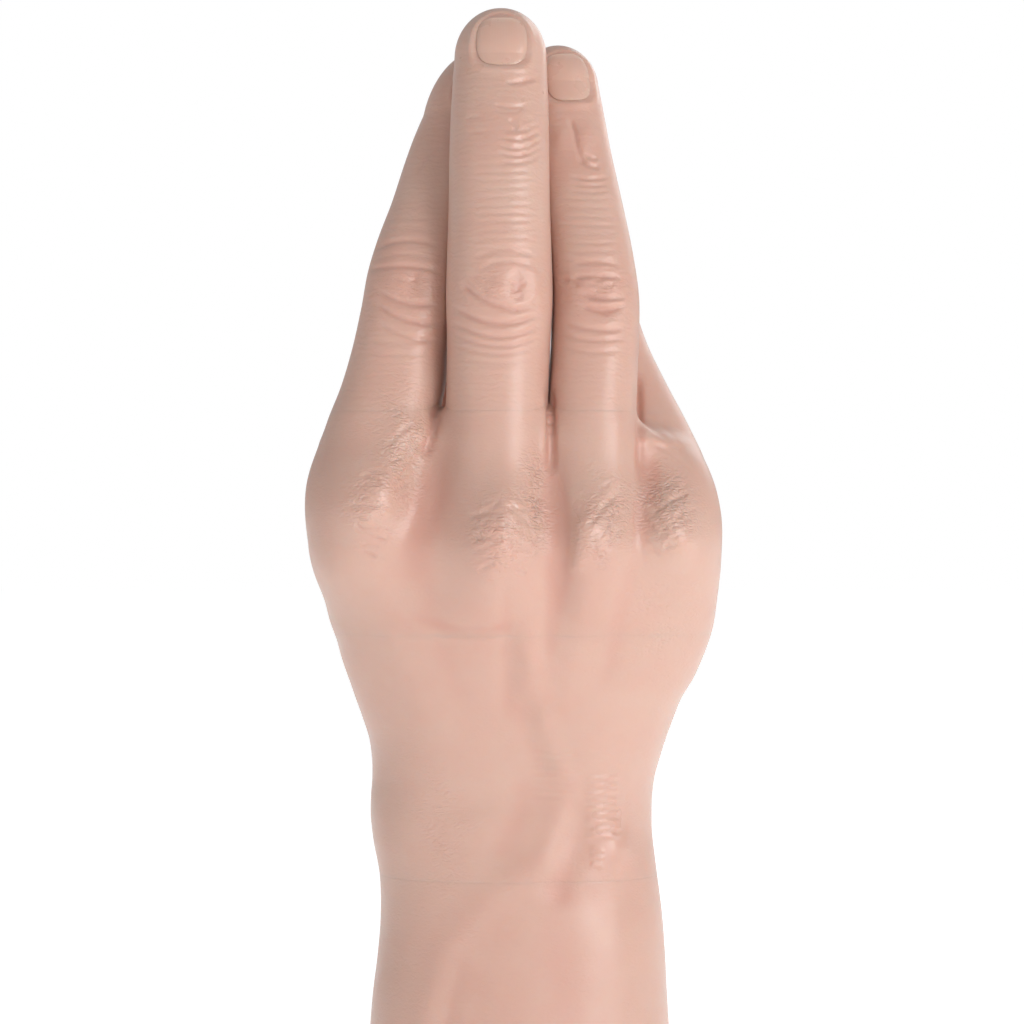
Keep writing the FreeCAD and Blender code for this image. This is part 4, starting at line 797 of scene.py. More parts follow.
def wrist_marks() -> list[Crease | Swelling]:
    """The winding vein, the wrinkles above the ulna's head, the head itself and the forearm's tendons."""
    marks: list[Crease | Swelling] = [
        Crease((1.0, 130.0), (6.0, 110.0), 0.5, -0.45, 2.6),
        Crease((5.0, 113.0), (10.4, 99.0), -0.5, -0.5, 2.6),
        Crease((1.4, 116.0), (6.4, 101.0), -0.6, 0.3, 2.8),
        Crease((10.8, 102.0), (3.6, 80.0), 1.4, -0.5, 2.8),
        Crease((13.0, 96.0), (7.4, 74.0), 1.0, 0.45, 3.2),
        Crease((2.6, 100.0), (-4.0, 82.0), 0.8, 0.3, 3.4),
        Crease((3.8, 81.0), (-12.6, 67.0), -1.6, -0.3, 3.4),
        Crease((-10.8, 69.0), (-18.4, 44.0), -1.4, -0.45, 3.4),
        Crease((-10.0, 68.0), (-14.6, 44.0), -0.4, 0.4, 2.8),
        Crease((-6.0, 64.0), (-9.6, 44.0), 0.3, 0.2, 2.6),
        Swelling((20.0, 85.4), (3.0, 4.0), 1.0),
        Swelling((18.4, 82.0), (6.6, 8.0), 0.4),
        Swelling((17.0, 92.6), (4.2, 7.6), 0.6),
        Swelling((17.6, 75.0), (6.0, 5.0), -0.3),
        Swelling((24.6, 91.0), (3.0, 9.0), -0.3),
        Swelling((-22.0, 90.0), (5.0, 9.0), 0.4),
        Swelling((10.0, 60.0), (6.0, 22.0), -0.35, 4.0),
        Swelling((22.0, 62.0), (5.4, 24.0), 0.3, 3.0),
    ]
    for k in range(9):
        z = 99.4 - 1.45 * k
        tilt = 0.3 * math.sin(2.4 * k)
        marks.append(Crease((13.8 + 0.5 * (k % 2), z - 0.2 + tilt), (20.6, z + 0.2 - tilt), 0.3, -0.3, 0.46))
    marks += [Crease((3.0, 105.0 - 1.5 * k), (12.6, 104.4 - 1.5 * k), 0.3, 0.12, 0.5) for k in range(7)]
    marks += [Crease((14.8, 85.4 - 1.5 * k), (17.2, 84.8 - 1.5 * k), 0.2, -0.22, 0.45) for k in range(3)]
    return marks


def back_marks() -> tuple[Crease | Swelling, ...]:
    """Every fold, tendon and vein on the back of the hand."""
    return tuple(finger_marks() + knuckle_marks() + wrist_marks())


# ---------------------------------------------------------------- meshing


def gradient(f: Field, p: Points, step: float = 0.05) -> Points:
    """Central differences of a field along x, y and z."""
    found = np.empty_like(p)
    for axis in range(3):
        shift = np.zeros(3)
        shift[axis] = step
        found[:, axis] = (f(p + shift) - f(p - shift)) / (2 * step)
    return found


def settle(f: Field, p: Points, rounds: int = 3, reach: float = 0.8) -> tuple[Points, Points]:
    """Moves points onto the surface f = 0 by Newton steps along the gradient.

    Args:
        f: the field.
        p: the points.
        rounds: how many steps.
        reach: the longest step along any axis.

    Returns:
        The settled points and the unit outward normals there.
    """
    slope = gradient(f, p)
    for _ in range(rounds):
        size = np.maximum((slope**2).sum(1, keepdims=True), 1e-3)
        p = p - np.clip(f(p)[:, None] * slope / size, -reach, reach)
        slope = gradient(f, p)
    normal = slope / np.maximum(np.linalg.norm(slope, axis=1, keepdims=True), 1e-6)
    return p, normal


@dataclass(frozen=True)
class Mesher:
    """Turns a closed field into an even quad mesh.

    Args:
        cell: edge of the first grid; the finished mesh has half of it.
    """

    cell: float = 1.0

    def net(self, f: Field, low: Points, high: Points) -> tuple[Points, np.ndarray]:
        """One vertex in every grid cell that the surface crosses, one quad for every grid edge it crosses.

        The vertex is the mean of the crossings on the cell's twelve edges, each by linear interpolation.

        Args:
            f: the field; its surface has to lie inside the box.
            low: the box's lower corner.
            high: its upper corner.

        Returns:
            The vertices and the quads.
        """
        axes = [np.arange(a - 2, b + 2, self.cell) for a, b in zip(low, high)]
        nx, ny, nz = (len(a) for a in axes)
        values = np.empty((nx, ny, nz))
        for i, x in enumerate(axes[0]):
            plane = np.empty((ny, nz, 3))
            plane[..., 0], plane[..., 1], plane[..., 2] = x, axes[1][:, None], axes[2][None, :]
            values[i] = f(plane)
        inside = values < 0
        total = np.zeros((nx - 1, ny - 1, nz - 1, 3))
        count = np.zeros((nx - 1, ny - 1, nz - 1))
        corner = np.stack(np.meshgrid(*axes, indexing="ij"), -1)
        shape = (nx, ny, nz)
        crossings = []
        for axis in range(3):
            low_part = [slice(None)] * 3
            high_part = [slice(None)] * 3
            low_part[axis], high_part[axis] = slice(0, -1), slice(1, None)
            a, b = values[tuple(low_part)], values[tuple(high_part)]
            crossed = inside[tuple(low_part)] != inside[tuple(high_part)]
            t = np.where(crossed, a / np.where(crossed, a - b, 1.0), 0.0)
            place = corner[tuple(low_part)].copy()
            place[..., axis] += t * self.cell
            place *= crossed[..., None]
            others = [k for k in range(3) if k != axis]
            for da in (0, 1):
                for db in (0, 1):
                    span = [slice(None)] * 3
                    span[others[0]] = slice(da, shape[others[0]] - 1 + da)
                    span[others[1]] = slice(db, shape[others[1]] - 1 + db)
                    total += place[tuple(span)]
                    count += crossed[tuple(span)]
            crossings.append(crossed)
        used = count > 0
        index = np.full(used.shape, -1, np.int64)
        index[used] = np.arange(used.sum())
        points = total[used] / count[used][:, None]
        quads = []
        for axis, crossed in enumerate(crossings):
            i, j, k = np.nonzero(crossed)
            at = np.stack([i, j, k], 1)
            others = [q for q in range(3) if q != axis]
            ring = []
            for da, db in ((1, 1), (0, 1), (0, 0), (1, 0)):
                cell = at.copy()
                cell[:, others[0]] -= da
                cell[:, others[1]] -= db
                ring.append(index[cell[:, 0], cell[:, 1], cell[:, 2]])
            quad = np.stack(ring, 1)
            outward = inside[i, j, k] ^ (axis == 1)
            quad[~outward] = quad[~outward][:, ::-1]
            quads.append(quad)
        return points, np.concatenate(quads)

    @staticmethod
    def relax(points: Points, quads: np.ndarray, share: float = 0.5) -> Points:
        """Moves every vertex towards the mean of its neighbours on the quads' edges, and returns the new places."""
        total = np.zeros_like(points)
        count = np.zeros(len(points))
        for a in range(4):
            for b in ((a + 1) % 4, (a + 3) % 4):
                np.add.at(total, quads[:, a], points[quads[:, b]])
                np.add.at(count, quads[:, a], 1.0)
        return points * (1 - share) + share * total / np.maximum(count, 1)[:, None]

    @staticmethod
    def halve(points: Points, quads: np.ndarray) -> tuple[Points, np.ndarray]:
        """Splits every quad in four at its edges' middles and its own middle."""
        pairs = np.stack([quads, np.roll(quads, -1, axis=1)], -1).reshape(-1, 2)
        edges, which = np.unique(np.sort(pairs, axis=1), axis=0, return_inverse=True)
        which = which.reshape(-1, 4) + len(points)
        middles = points[edges].mean(1)
        centres = points[quads].mean(1)
        centre = np.arange(len(quads)) + len(points) + len(edges)
        parts = [
            np.stack([quads[:, k], which[:, k], centre, which[:, k - 1]], 1) for k in range(4)
        ]
        return np.concatenate([points, middles, centres]), np.concatenate(parts)

    def mesh(self, f: Field, low: Sequence[float], high: Sequence[float]) -> tuple[Points, np.ndarray]:
        """Nets, relaxes, settles and halves the surface of f inside a box.

        Returns:
            The vertices and the quads.
        """
        points, quads = self.net(f, np.array(low), np.array(high))
        for _ in range(2):
            points = settle(f, self.relax(points, quads), 1)[0]
        points, quads = self.halve(points, quads)
        points = settle(f, self.relax(points, quads, 0.35), 2)[0]
        return points, quads


def place(name: str, data: bpy.types.ID) -> bpy.types.Object:
    """Puts a mesh, light or camera into the scene."""
    obj = bpy.data.objects.new(name, data)
    bpy.context.scene.collection.objects.link(obj)
    return obj


def adopt(mesh: bpy.types.Mesh, rest: Points) -> bpy.types.Object:
    """Shades a mesh smooth and puts it into the scene, with its rest place in the attribute "rest".

    Args:
        mesh: the finished mesh, in metres.
        rest: places that patterns follow, in millimetres, one to a vertex.

    Returns:
        The mesh's object, of the same name.
    """
    mesh.polygons.foreach_set("use_smooth", np.ones(len(mesh.polygons), bool))
    mesh.validate()
    layer = mesh.attributes.new("rest", "FLOAT_VECTOR", "POINT")
    layer.data.foreach_set("vector", (rest * MM).astype(np.float32).ravel())
    return place(mesh.name, mesh)


def make_object(name: str, points: Points, faces: np.ndarray, rest: Points) -> bpy.types.Object:
    """A smooth-shaded mesh object in metres.

    Args:
        name: the piece's name.
        points: vertices in millimetres.
        faces: vertex numbers, four to a face.
        rest: places that patterns follow, in millimetres.

    Returns:
        The object, in the scene.
    """
    mesh = bpy.data.meshes.new(name)
    mesh.vertices.add(len(points))
    mesh.vertices.foreach_set("co", (points * MM).astype(np.float32).ravel())
    mesh.loops.add(faces.size)
    mesh.loops.foreach_set("vertex_index", faces.astype(np.int32).ravel())
    mesh.polygons.add(len(faces))
    mesh.polygons.foreach_set("loop_start", np.arange(0, faces.size, faces.shape[1], dtype=np.int32))
    mesh.update(calc_edges=True)
    return adopt(mesh, rest)


def add_mask(obj: bpy.types.Object, name: str, values: np.ndarray) -> None:
    """Stores one number per vertex for a material to read."""
    layer = obj.data.attributes.new(name, "FLOAT", "POINT")
    layer.data.foreach_set("value", values.astype(np.float32))


# ---------------------------------------------------------------- finishes


class Shader:
    """A short way to write a node tree."""

    def __init__(self, name: str) -> None:
        """Starts an empty material with one Principled shader."""
        self.material = bpy.data.materials.new(name)
        self.material.use_nodes = True
        self.tree = self.material.node_tree
        self.surface = self.tree.nodes["Principled BSDF"]

    def node(self, kind: str, **settings: object) -> bpy.types.Node:
        """Adds a node; settings are its properties."""
        made = self.tree.nodes.new(kind)
        for key, value in settings.items():
            setattr(made, key, value)
        return made

    def link(self, source: bpy.types.NodeSocket, target: bpy.types.NodeSocket) -> None:
        """Joins two sockets."""
        self.tree.links.new(source, target)

    def set(self, **values: object) -> None:
        """Sets constants on the shader's own sockets; underscores stand for spaces."""
        for key, value in values.items():
            self.surface.inputs[key.replace("_", " ").title().replace("Ior", "IOR")].default_value = value

    def attribute(self, name: str, output: str) -> bpy.types.NodeSocket:
        """Reads a mesh attribute."""
        return self.node("ShaderNodeAttribute", attribute_name=name).outputs[output]

    def noise(
        self, where: bpy.types.NodeSocket, scale: float, detail: float = 3.0, rough: float = 0.5
    ) -> bpy.types.NodeSocket:
        """A noise value between about 0 and 1."""
        made = self.node("ShaderNodeTexNoise")
        made.inputs["Scale"].default_value = scale
        made.inputs["Detail"].default_value = detail
        made.inputs["Roughness"].default_value = rough
        self.link(where, made.inputs["Vector"])
        return made.outputs["Fac"]

    def math(self, operation: str, *values: bpy.types.NodeSocket | float) -> bpy.types.NodeSocket:
        """A math node on sockets and numbers."""
        made = self.node("ShaderNodeMath", operation=operation)
        for socket, value in zip(made.inputs, values):
            if isinstance(value, (int, float)):
                socket.default_value = value
            else:
                self.link(value, socket)
        return made.outputs[0]

    def between(
        self, value: bpy.types.NodeSocket, low: float, high: float, to_low: float = 0.0, to_high: float = 1.0
    ) -> bpy.types.NodeSocket:
        """Maps a range of values to another, clamped."""
        made = self.node("ShaderNodeMapRange", clamp=True)
        for key, number in zip(("From Min", "From Max", "To Min", "To Max"), (low, high, to_low, to_high)):
            made.inputs[key].default_value = number
        self.link(value, made.inputs["Value"])
        return made.outputs["Result"]

    def blend(self, share: bpy.types.NodeSocket, first: object, second: object) -> bpy.types.NodeSocket:
        """Mixes two colours."""
        made = self.node("ShaderNodeMix", data_type="RGBA")
        self.link(share, made.inputs["Factor"])
        for key, value in (("A", first), ("B", second)):
            socket = [s for s in made.inputs if s.name == key and s.type == "RGBA"][0]
            if isinstance(value, tuple):
                socket.default_value = value
            else:
                self.link(value, socket)
        return [s for s in made.outputs if s.type == "RGBA"][0]

    def bump(
        self,
        height: bpy.types.NodeSocket,
        distance: float,
        strength: float,
        under: bpy.types.NodeSocket | None = None,
    ) -> bpy.types.NodeSocket:
        """A bump on top of another normal."""
        made = self.node("ShaderNodeBump")
        made.inputs["Distance"].default_value = distance
        made.inputs["Strength"].default_value = strength
        self.link(height, made.inputs["Height"])
        if under is not None:
            self.link(under, made.inputs["Normal"])
        return made.outputs["Normal"]


@dataclass(frozen=True)
class SkinFinish:
    """Pigmented elastomer: waxy depth, warm and cool patches, painted shade in sunk folds, fine furrows over the
    knuckles.

    Args:
        base: the pigment's main colour, linear.
        warm: the redder, darker colour over joints and in random patches; in sunk folds it is painted shade.
        cool: the paler, yellower colour of the palm and the wrist's inside.
        roughness: the mould's satin gloss.
    """

    base: tuple[float, float, float, float] = (0.62, 0.385, 0.31, 1.0)
    warm: tuple[float, float, float, float] = (0.58, 0.3, 0.235, 1.0)
    cool: tuple[float, float, float, float] = (0.61, 0.425, 0.345, 1.0)
    roughness: float = 0.42

    def material(self) -> bpy.types.Material:
        """Builds the node tree once for all skin pieces."""
        s = Shader("skin_elastomer")
        rest = s.attribute("rest", "Vector")
        broad = s.between(s.noise(rest, 22.0, 2.0), 0.35, 0.65)
        cloud = s.between(s.noise(rest, 85.0, 4.0, 0.6), 0.35, 0.68)
        colour = s.blend(s.math("MULTIPLY", broad, 0.5), self.base, self.cool)
        colour = s.blend(s.math("MULTIPLY", cloud, 0.28), colour, self.warm)
        # One mask: redder pigment over the joints, plus painted shade that darkens sunk folds, hollows and nail beds.
        colour = s.blend(s.math("MULTIPLY", s.attribute("flush_and_fold_shade", "Fac"), 0.75), colour, self.warm)
        s.link(colour, s.surface.inputs["Base Color"])
        shine = s.between(s.noise(rest, 140.0, 3.0), 0.3, 0.7, self.roughness - 0.06, self.roughness + 0.08)
        shine = s.math("SUBTRACT", shine, s.math("MULTIPLY", s.attribute("gloss", "Fac"), 0.18))
        s.link(shine, s.surface.inputs["Roughness"])
        s.link(self.relief(s, rest), s.surface.inputs["Normal"])
        s.set(subsurface_weight=0.5, subsurface_scale=0.0014, specular_ior_level=0.5)
        s.surface.inputs["Subsurface Radius"].default_value = SCATTER
        s.set(coat_weight=0.3, coat_roughness=0.27, ior=1.45)
        return s.material

    @staticmethod
    def relief(s: Shader, rest: bpy.types.NodeSocket) -> bpy.types.NodeSocket:
        """Pores everywhere, small furrowed plates over the knuckles, level lines along the fingers."""
        pores = s.bump(s.noise(rest, 1500.0, 2.0), 0.00006, 0.35)
        wobble = s.node("ShaderNodeVectorMath", operation="MULTIPLY_ADD")
        drift = s.node("ShaderNodeTexNoise")
        drift.inputs["Scale"].default_value = 320.0
        s.link(rest, drift.inputs["Vector"])
        s.link(drift.outputs["Color"], wobble.inputs[0])
        wobble.inputs[1].default_value = (0.0012, 0.0012, 0.0012)
        s.link(rest, wobble.inputs[2])
        heights = []
        for scale, turn in ((620.0, (0.0, 0.5, 0.0)), (880.0, (0.0, -0.6, 0.0))):
            turned = s.node("ShaderNodeMapping", vector_type="POINT")
            turned.inputs["Rotation"].default_value = turn
            turned.inputs["Scale"].default_value = (1.0, 1.0, 1.9)
            s.link(wobble.outputs[0], turned.inputs["Vector"])
            cells = s.node("ShaderNodeTexVoronoi", feature="DISTANCE_TO_EDGE")
            cells.inputs["Scale"].default_value = scale
            s.link(turned.outputs[0], cells.inputs["Vector"])
            heights.append(s.between(cells.outputs["Distance"], 0.0, 0.3))
        plates = s.math("ADD", s.math("MULTIPLY", heights[0], 0.6), s.math("MULTIPLY", heights[1], 0.4))
        patchy = s.between(s.noise(rest, 260.0, 2.0), 0.36, 0.62, 0.25, 1.0)
        hatch = s.math("MULTIPLY", s.math("MULTIPLY", plates, patchy), s.attribute("hatch", "Fac"))
        furrows = s.bump(hatch, 0.00034, 1.0, pores)
        level = s.node("ShaderNodeTexWave", wave_type="BANDS", bands_direction="Z")
        level.inputs["Scale"].default_value = 230.0
        level.inputs["Distortion"].default_value = 6.0
        level.inputs["Detail"].default_value = 2.0
        level.inputs["Detail Scale"].default_value = 1.6
        s.link(rest, level.inputs["Vector"])
        lines = s.math("MULTIPLY", level.outputs["Fac"], s.attribute("lines", "Fac"))
        return s.bump(lines, 0.00012, 0.7, furrows)


@dataclass(frozen=True)
class NailFinish:
    """The nails: the skin's own pigment, paler and glossier, with faint lengthwise ribs."""

    base: tuple[float, float, float, float] = (0.64, 0.395, 0.315, 1.0)
    edge: tuple[float, float, float, float] = (0.68, 0.45, 0.365, 1.0)

    def material(self) -> bpy.types.Material:
        """Builds the node tree for all nails."""
        s = Shader("nail_elastomer")
        rest = s.attribute("rest", "Vector")
        along = s.attribute("along", "Fac")
        tip = s.between(along, 0.84, 0.95)
        s.link(s.blend(tip, self.base, self.edge), s.surface.inputs["Base Color"])
        across = s.attribute("across", "Fac")
        ribs = s.math("SINE", s.math("MULTIPLY", across, 60.0))
        under = s.bump(s.noise(rest, 900.0, 2.0), 0.00004, 0.3)
        s.link(s.bump(ribs, 0.000006, 0.2, under), s.surface.inputs["Normal"])
        s.link(s.between(s.noise(rest, 260.0), 0.3, 0.7, 0.24, 0.36), s.surface.inputs["Roughness"])
        s.set(subsurface_weight=0.4, subsurface_scale=0.0015, coat_weight=0.25, coat_roughness=0.18)
        s.surface.inputs["Subsurface Radius"].default_value = SCATTER
        return s.material


@dataclass(frozen=True)
class MetalFinish:
    """A machined or cast metal.

    Args:
        name: the material's name.
        colour: linear colour.
        roughness: mean roughness.
        grain: how many marks to a metre.
        depth: depth of the marks in metres.
    """

    name: str
    colour: tuple[float, float, float, float]
    roughness: float = 0.3
    grain: float = 900.0
    depth: float = 0.00003

    def material(self) -> bpy.types.Material:
        """Metal with fine marks that change its gloss and its relief."""
        s = Shader(self.name)
        where = s.node("ShaderNodeTexCoord").outputs["Object"]
        marks = s.noise(where, self.grain, 4.0, 0.6)
        stain = s.between(s.noise(where, self.grain / 14, 3.0), 0.3, 0.7)
        darker = tuple(c * 0.86 for c in self.colour[:3]) + (1.0,)
        s.link(s.blend(stain, self.colour, darker), s.surface.inputs["Base Color"])
        low, high = max(self.roughness - 0.07, 0.05), self.roughness + 0.1
        s.link(s.between(marks, 0.3, 0.7, low, high), s.surface.inputs["Roughness"])
        s.link(s.bump(marks, self.depth, 0.5), s.surface.inputs["Normal"])
        s.set(metallic=1.0)
        return s.material


@dataclass(frozen=True)
class PlasticFinish:
    """A moulded or foamed plastic with a fine grain."""

    name: str
    colour: tuple[float, float, float, float]
    roughness: float = 0.55
    grain: float = 1100.0
    depth: float = 0.00006

    def material(self) -> bpy.types.Material:
        """Plastic whose grain shows in its relief and slightly in its colour."""
        s = Shader(self.name)
        where = s.node("ShaderNodeTexCoord").outputs["Object"]
        grain = s.noise(where, self.grain, 3.0)
        cloud = s.between(s.noise(where, 60.0, 3.0), 0.3, 0.7)
        lighter = tuple(min(c * 1.12 + 0.004, 1.0) for c in self.colour[:3]) + (1.0,)
        s.link(s.blend(cloud, self.colour, lighter), s.surface.inputs["Base Color"])
        s.link(s.between(grain, 0.3, 0.7, self.roughness - 0.06, self.roughness + 0.08), s.surface.inputs["Roughness"])
        s.link(s.bump(grain, self.depth, 0.5), s.surface.inputs["Normal"])
        return s.material


# ---------------------------------------------------------------- skin pieces


FURROWED: tuple[Spot, ...] = (
    (-27.0, 153.0, 5.5, 9.0, 0.7),
    (-22.0, 166.0, 5.0, 10.0, 0.9),
    (-3.0, 148.0, 6.0, 8.0, 0.7),
    (4.0, 153.0, 3.5, 10.0, 1.0),
    (17.5, 150.0, 6.0, 9.0, 1.0),
    (29.0, 153.0, 6.5, 7.0, 1.0),
    (28.0, 130.0, 9.0, 12.0, 0.4),
    (-14.0, 90.0, 7.0, 12.0, 0.35),
    (-2.6, 195.0, 7.0, 5.0, 0.4),
    (16.0, 195.0, 6.0, 5.0, 0.45),
    (-21.0, 196.0, 6.0, 6.0, 0.45),
)
FLUSHED: tuple[Spot, ...] = (
    (-16.0, 152.0, 6.0, 9.0, 0.35),
    (-2.6, 196.0, 8.0, 6.0, 0.45),
    (16.0, 195.0, 7.0, 6.0, 0.5),
    (-21.0, 197.0, 7.0, 7.0, 0.45),
    (-4.0, 228.0, 7.0, 7.0, 0.4),
    (13.0, 226.0, 6.0, 10.0, 0.45),
    (-5.0, 145.0, 6.0, 6.0, 0.35),
    (15.0, 145.0, 6.0, 6.0, 0.35),
    (18.0, 85.0, 8.0, 9.0, 0.45),
)
GLOSSY: tuple[Spot, ...] = (
    (-24.0, 160.0, 6.0, 12.0, 0.8),
    (-1.0, 149.0, 8.0, 12.0, 1.0),
    (14.0, 148.0, 6.0, 10.0, 0.9),
    (31.0, 148.0, 6.0, 7.0, 0.9),
    (18.0, 91.0, 6.0, 12.0, 1.0),
)


class Follow(Enum):
    """How a skin piece moves with the frame."""

    RIDE = "rides on one body"
    BEND = "bends between two bodies"


@dataclass(frozen=True)
class Cut:
    """One piece of the skin between two levels.

    Args:
        name: the piece's name.
        low: level of the lower seam, or None if the piece ends by itself.
        high: level of the upper seam, or None.
        bodies: the body it rides on, or the two bodies on either side of its joint.
        start: where a bend would start, in millimetres; not used.
        end: where a bend would end, in millimetres; not used.
        nodes: the CAD nodes it stands for.
    """

    name: str
    low: float | None
    high: float | None
    bodies: tuple[str, ...]
    nodes: tuple[str, ...]
    start: tuple[float, float, float] = (0.0, 0.0, 0.0)
    end: tuple[float, float, float] = (0.0, 0.0, 0.0)

    @property
    def follow(self) -> Follow:
        """One body means Follow.RIDE, two means Follow.BEND."""
        return Follow.RIDE if len(self.bodies) == 1 else Follow.BEND


@dataclass
class Skin:
    """The soft skin: nine pieces of one form, whose seams overlap by a hidden tongue.

    Args:
        form: the hand's form.
        material: the skin's finish.
        mesher: turns a field into a mesh.
        tongue: length of the hidden tongue past a seam.
        tongue_slope: how fast the tongue sinks.
        tongue_drop: how far it sinks besides within its first millimetre.
    """

    form: HandForm
    material: bpy.types.Material
    mesher: Mesher = Mesher()
    tongue: float = 4.0
    tongue_slope: float = 0.08
    tongue_drop: float = 0.12

    def sink(self, past: np.ndarray) -> np.ndarray:
        """How far a tongue lies under its neighbour's skin: a quick drop at first, then a slow slope."""
        over = np.maximum(past, 0.0)
        return self.tongue_slope * over + self.tongue_drop * np.minimum(over, 1.0)

    def trimmed(self, f: Field, cut: Cut) -> Field:
        """Ends a field at a cut's seams. Past a seam the skin goes on for the tongue's length, sinking slowly.

        Args:
            f: the field of the whole form.
            cut: the piece, with its two levels.

        Returns:
            The field of the piece.
        """

        def inner(p: Points) -> np.ndarray:
            d, z = f(p), p[..., 2]
            if cut.high is not None:
                d = d + self.sink(z - cut.high)
                d = smooth_max(d, z - cut.high - self.tongue, 1.0)
            if cut.low is not None:
                d = d + self.sink(cut.low - z)
                d = smooth_max(d, cut.low - self.tongue - z, 1.0)
            return d

        return inner

    def forearm(self, p: Points) -> np.ndarray:
        """The lower form, flat at the base, with a shallow recess that takes the base plate."""
        d = smooth_max(self.form.fist(p), -p[..., 2], 1.6)
        plate = np.hypot((p[..., 0] - 0.5) / 30.2, p[..., 1] / 22.2)
        recess = np.maximum((plate - 1) * 22.2, p[..., 2] - 6.0)
        return smooth_max(d, -recess, 0.6)

    def build(self, cut: Cut, f: Field, low: Sequence[float], high: Sequence[float]) -> bpy.types.Object:
        """Meshes one piece, adds the relief and the masks, and ties a riding piece to its body; a piece with two bodies
        stays unparented.

        Args:
            cut: the piece.
            f: its closed field, before the seams.
            low: lower corner of a box around the piece, in millimetres.
            high: upper corner of that box.

        Returns:
            The finished piece.
        """
        closed = self.trimmed(f, cut)
        points, quads = self.mesher.mesh(closed, low, high)
        points, normal = settle(closed, points, 1)
        on_skin = ramp(-np.abs(f(points)), -1.2, -0.6)
        height = self.form.relief(points, normal) * on_skin
        obj = make_object(cut.name, points + normal * height[:, None], quads, points)
        self.masks(obj, points, normal, height)
        obj.data.materials.append(self.material)
        if cut.follow is Follow.BEND:
            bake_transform(obj)
        else:
            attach(obj, cut.bodies[0])
        if cut.nodes:
            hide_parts(*cut.nodes)
        log.info("%s: %d faces", cut.name, len(quads))
        return obj

    @staticmethod
    def masks(obj: bpy.types.Object, p: Points, normal: Points, height: np.ndarray) -> None:
        """Where the skin is furrowed, lined, flushed or glossy, each 0 to 1 at a vertex; sunk folds also take the flush
        colour, as painted shade.

        Args:
            obj: the piece.
            p: its skin points before the relief.
            normal: outward unit normals there.
            height: the relief's height there.
        """
        x, z = p[:, 0], p[:, 2]
        back = ramp(-normal[:, 1], 0.0, 0.5)
        hatch = np.maximum(spots(x, z, FURROWED) * back, 0.08)
        lines = back * ramp(z, 166.0, 176.0) * 0.26 + 0.06 * back
        # Joint spots are redder pigment; the deeper a fold, hollow or nail bed sinks, the more painted shade it gets.
        flush_and_fold_shade = np.maximum(spots(x, z, FLUSHED), ramp(-height, 0.05, 0.6) * 0.9)
        gloss = np.maximum(0.6 * ramp(z, 214.0, 240.0), spots(x, z, GLOSSY)) * back
        for name, values in (("hatch", hatch), ("lines", lines), ("flush_and_fold_shade", flush_and_fold_shade), ("gloss", gloss)):
            add_mask(obj, name, np.clip(values, 0.0, 1.0))


# ---------------------------------------------------------------- frame and studio


@dataclass(frozen=True)
class Mechanism:
    """The rigid parts inside: every CAD node that stays gets its finish by its material slot."""

    frame: dict

    def dress(self) -> None:
        """Makes one material for each slot and hands it to the slot's nodes."""
        finishes = {
            "cast_aluminium": MetalFinish("cast_aluminium", (0.58, 0.58, 0.6, 1.0), 0.42, 1400.0, 0.00008),
            "steel": MetalFinish("turned_steel", (0.55, 0.55, 0.56, 1.0), 0.24),
            "brass": MetalFinish("turned_brass", (0.66, 0.46, 0.19, 1.0), 0.28),
            "black_plastic": PlasticFinish("black_plastic", (0.025, 0.025, 0.027, 1.0), 0.5),
            "core_plastic": PlasticFinish("rigid_foam", (0.7, 0.63, 0.52, 1.0), 0.8, 2600.0, 0.00018),
            "friction_lining": PlasticFinish("friction_lining", (0.13, 0.1, 0.08, 1.0), 0.85, 2200.0, 0.0001),
            "skin": PlasticFinish("plain_skin", SkinFinish.base, 0.45),
            "nail": PlasticFinish("plain_nail", NailFinish.base, 0.3),
        }
        made = {name: finish.material() for name, finish in finishes.items()}
        slots = {s["node"]: s["material_slot"] for s in self.frame["record"]["subparts"]}
        for node, obj in self.frame["nodes"].items():
            obj.data.materials.clear()
            obj.data.materials.append(made[slots[node]])
        log.info("dressed %d nodes of the frame", len(slots))


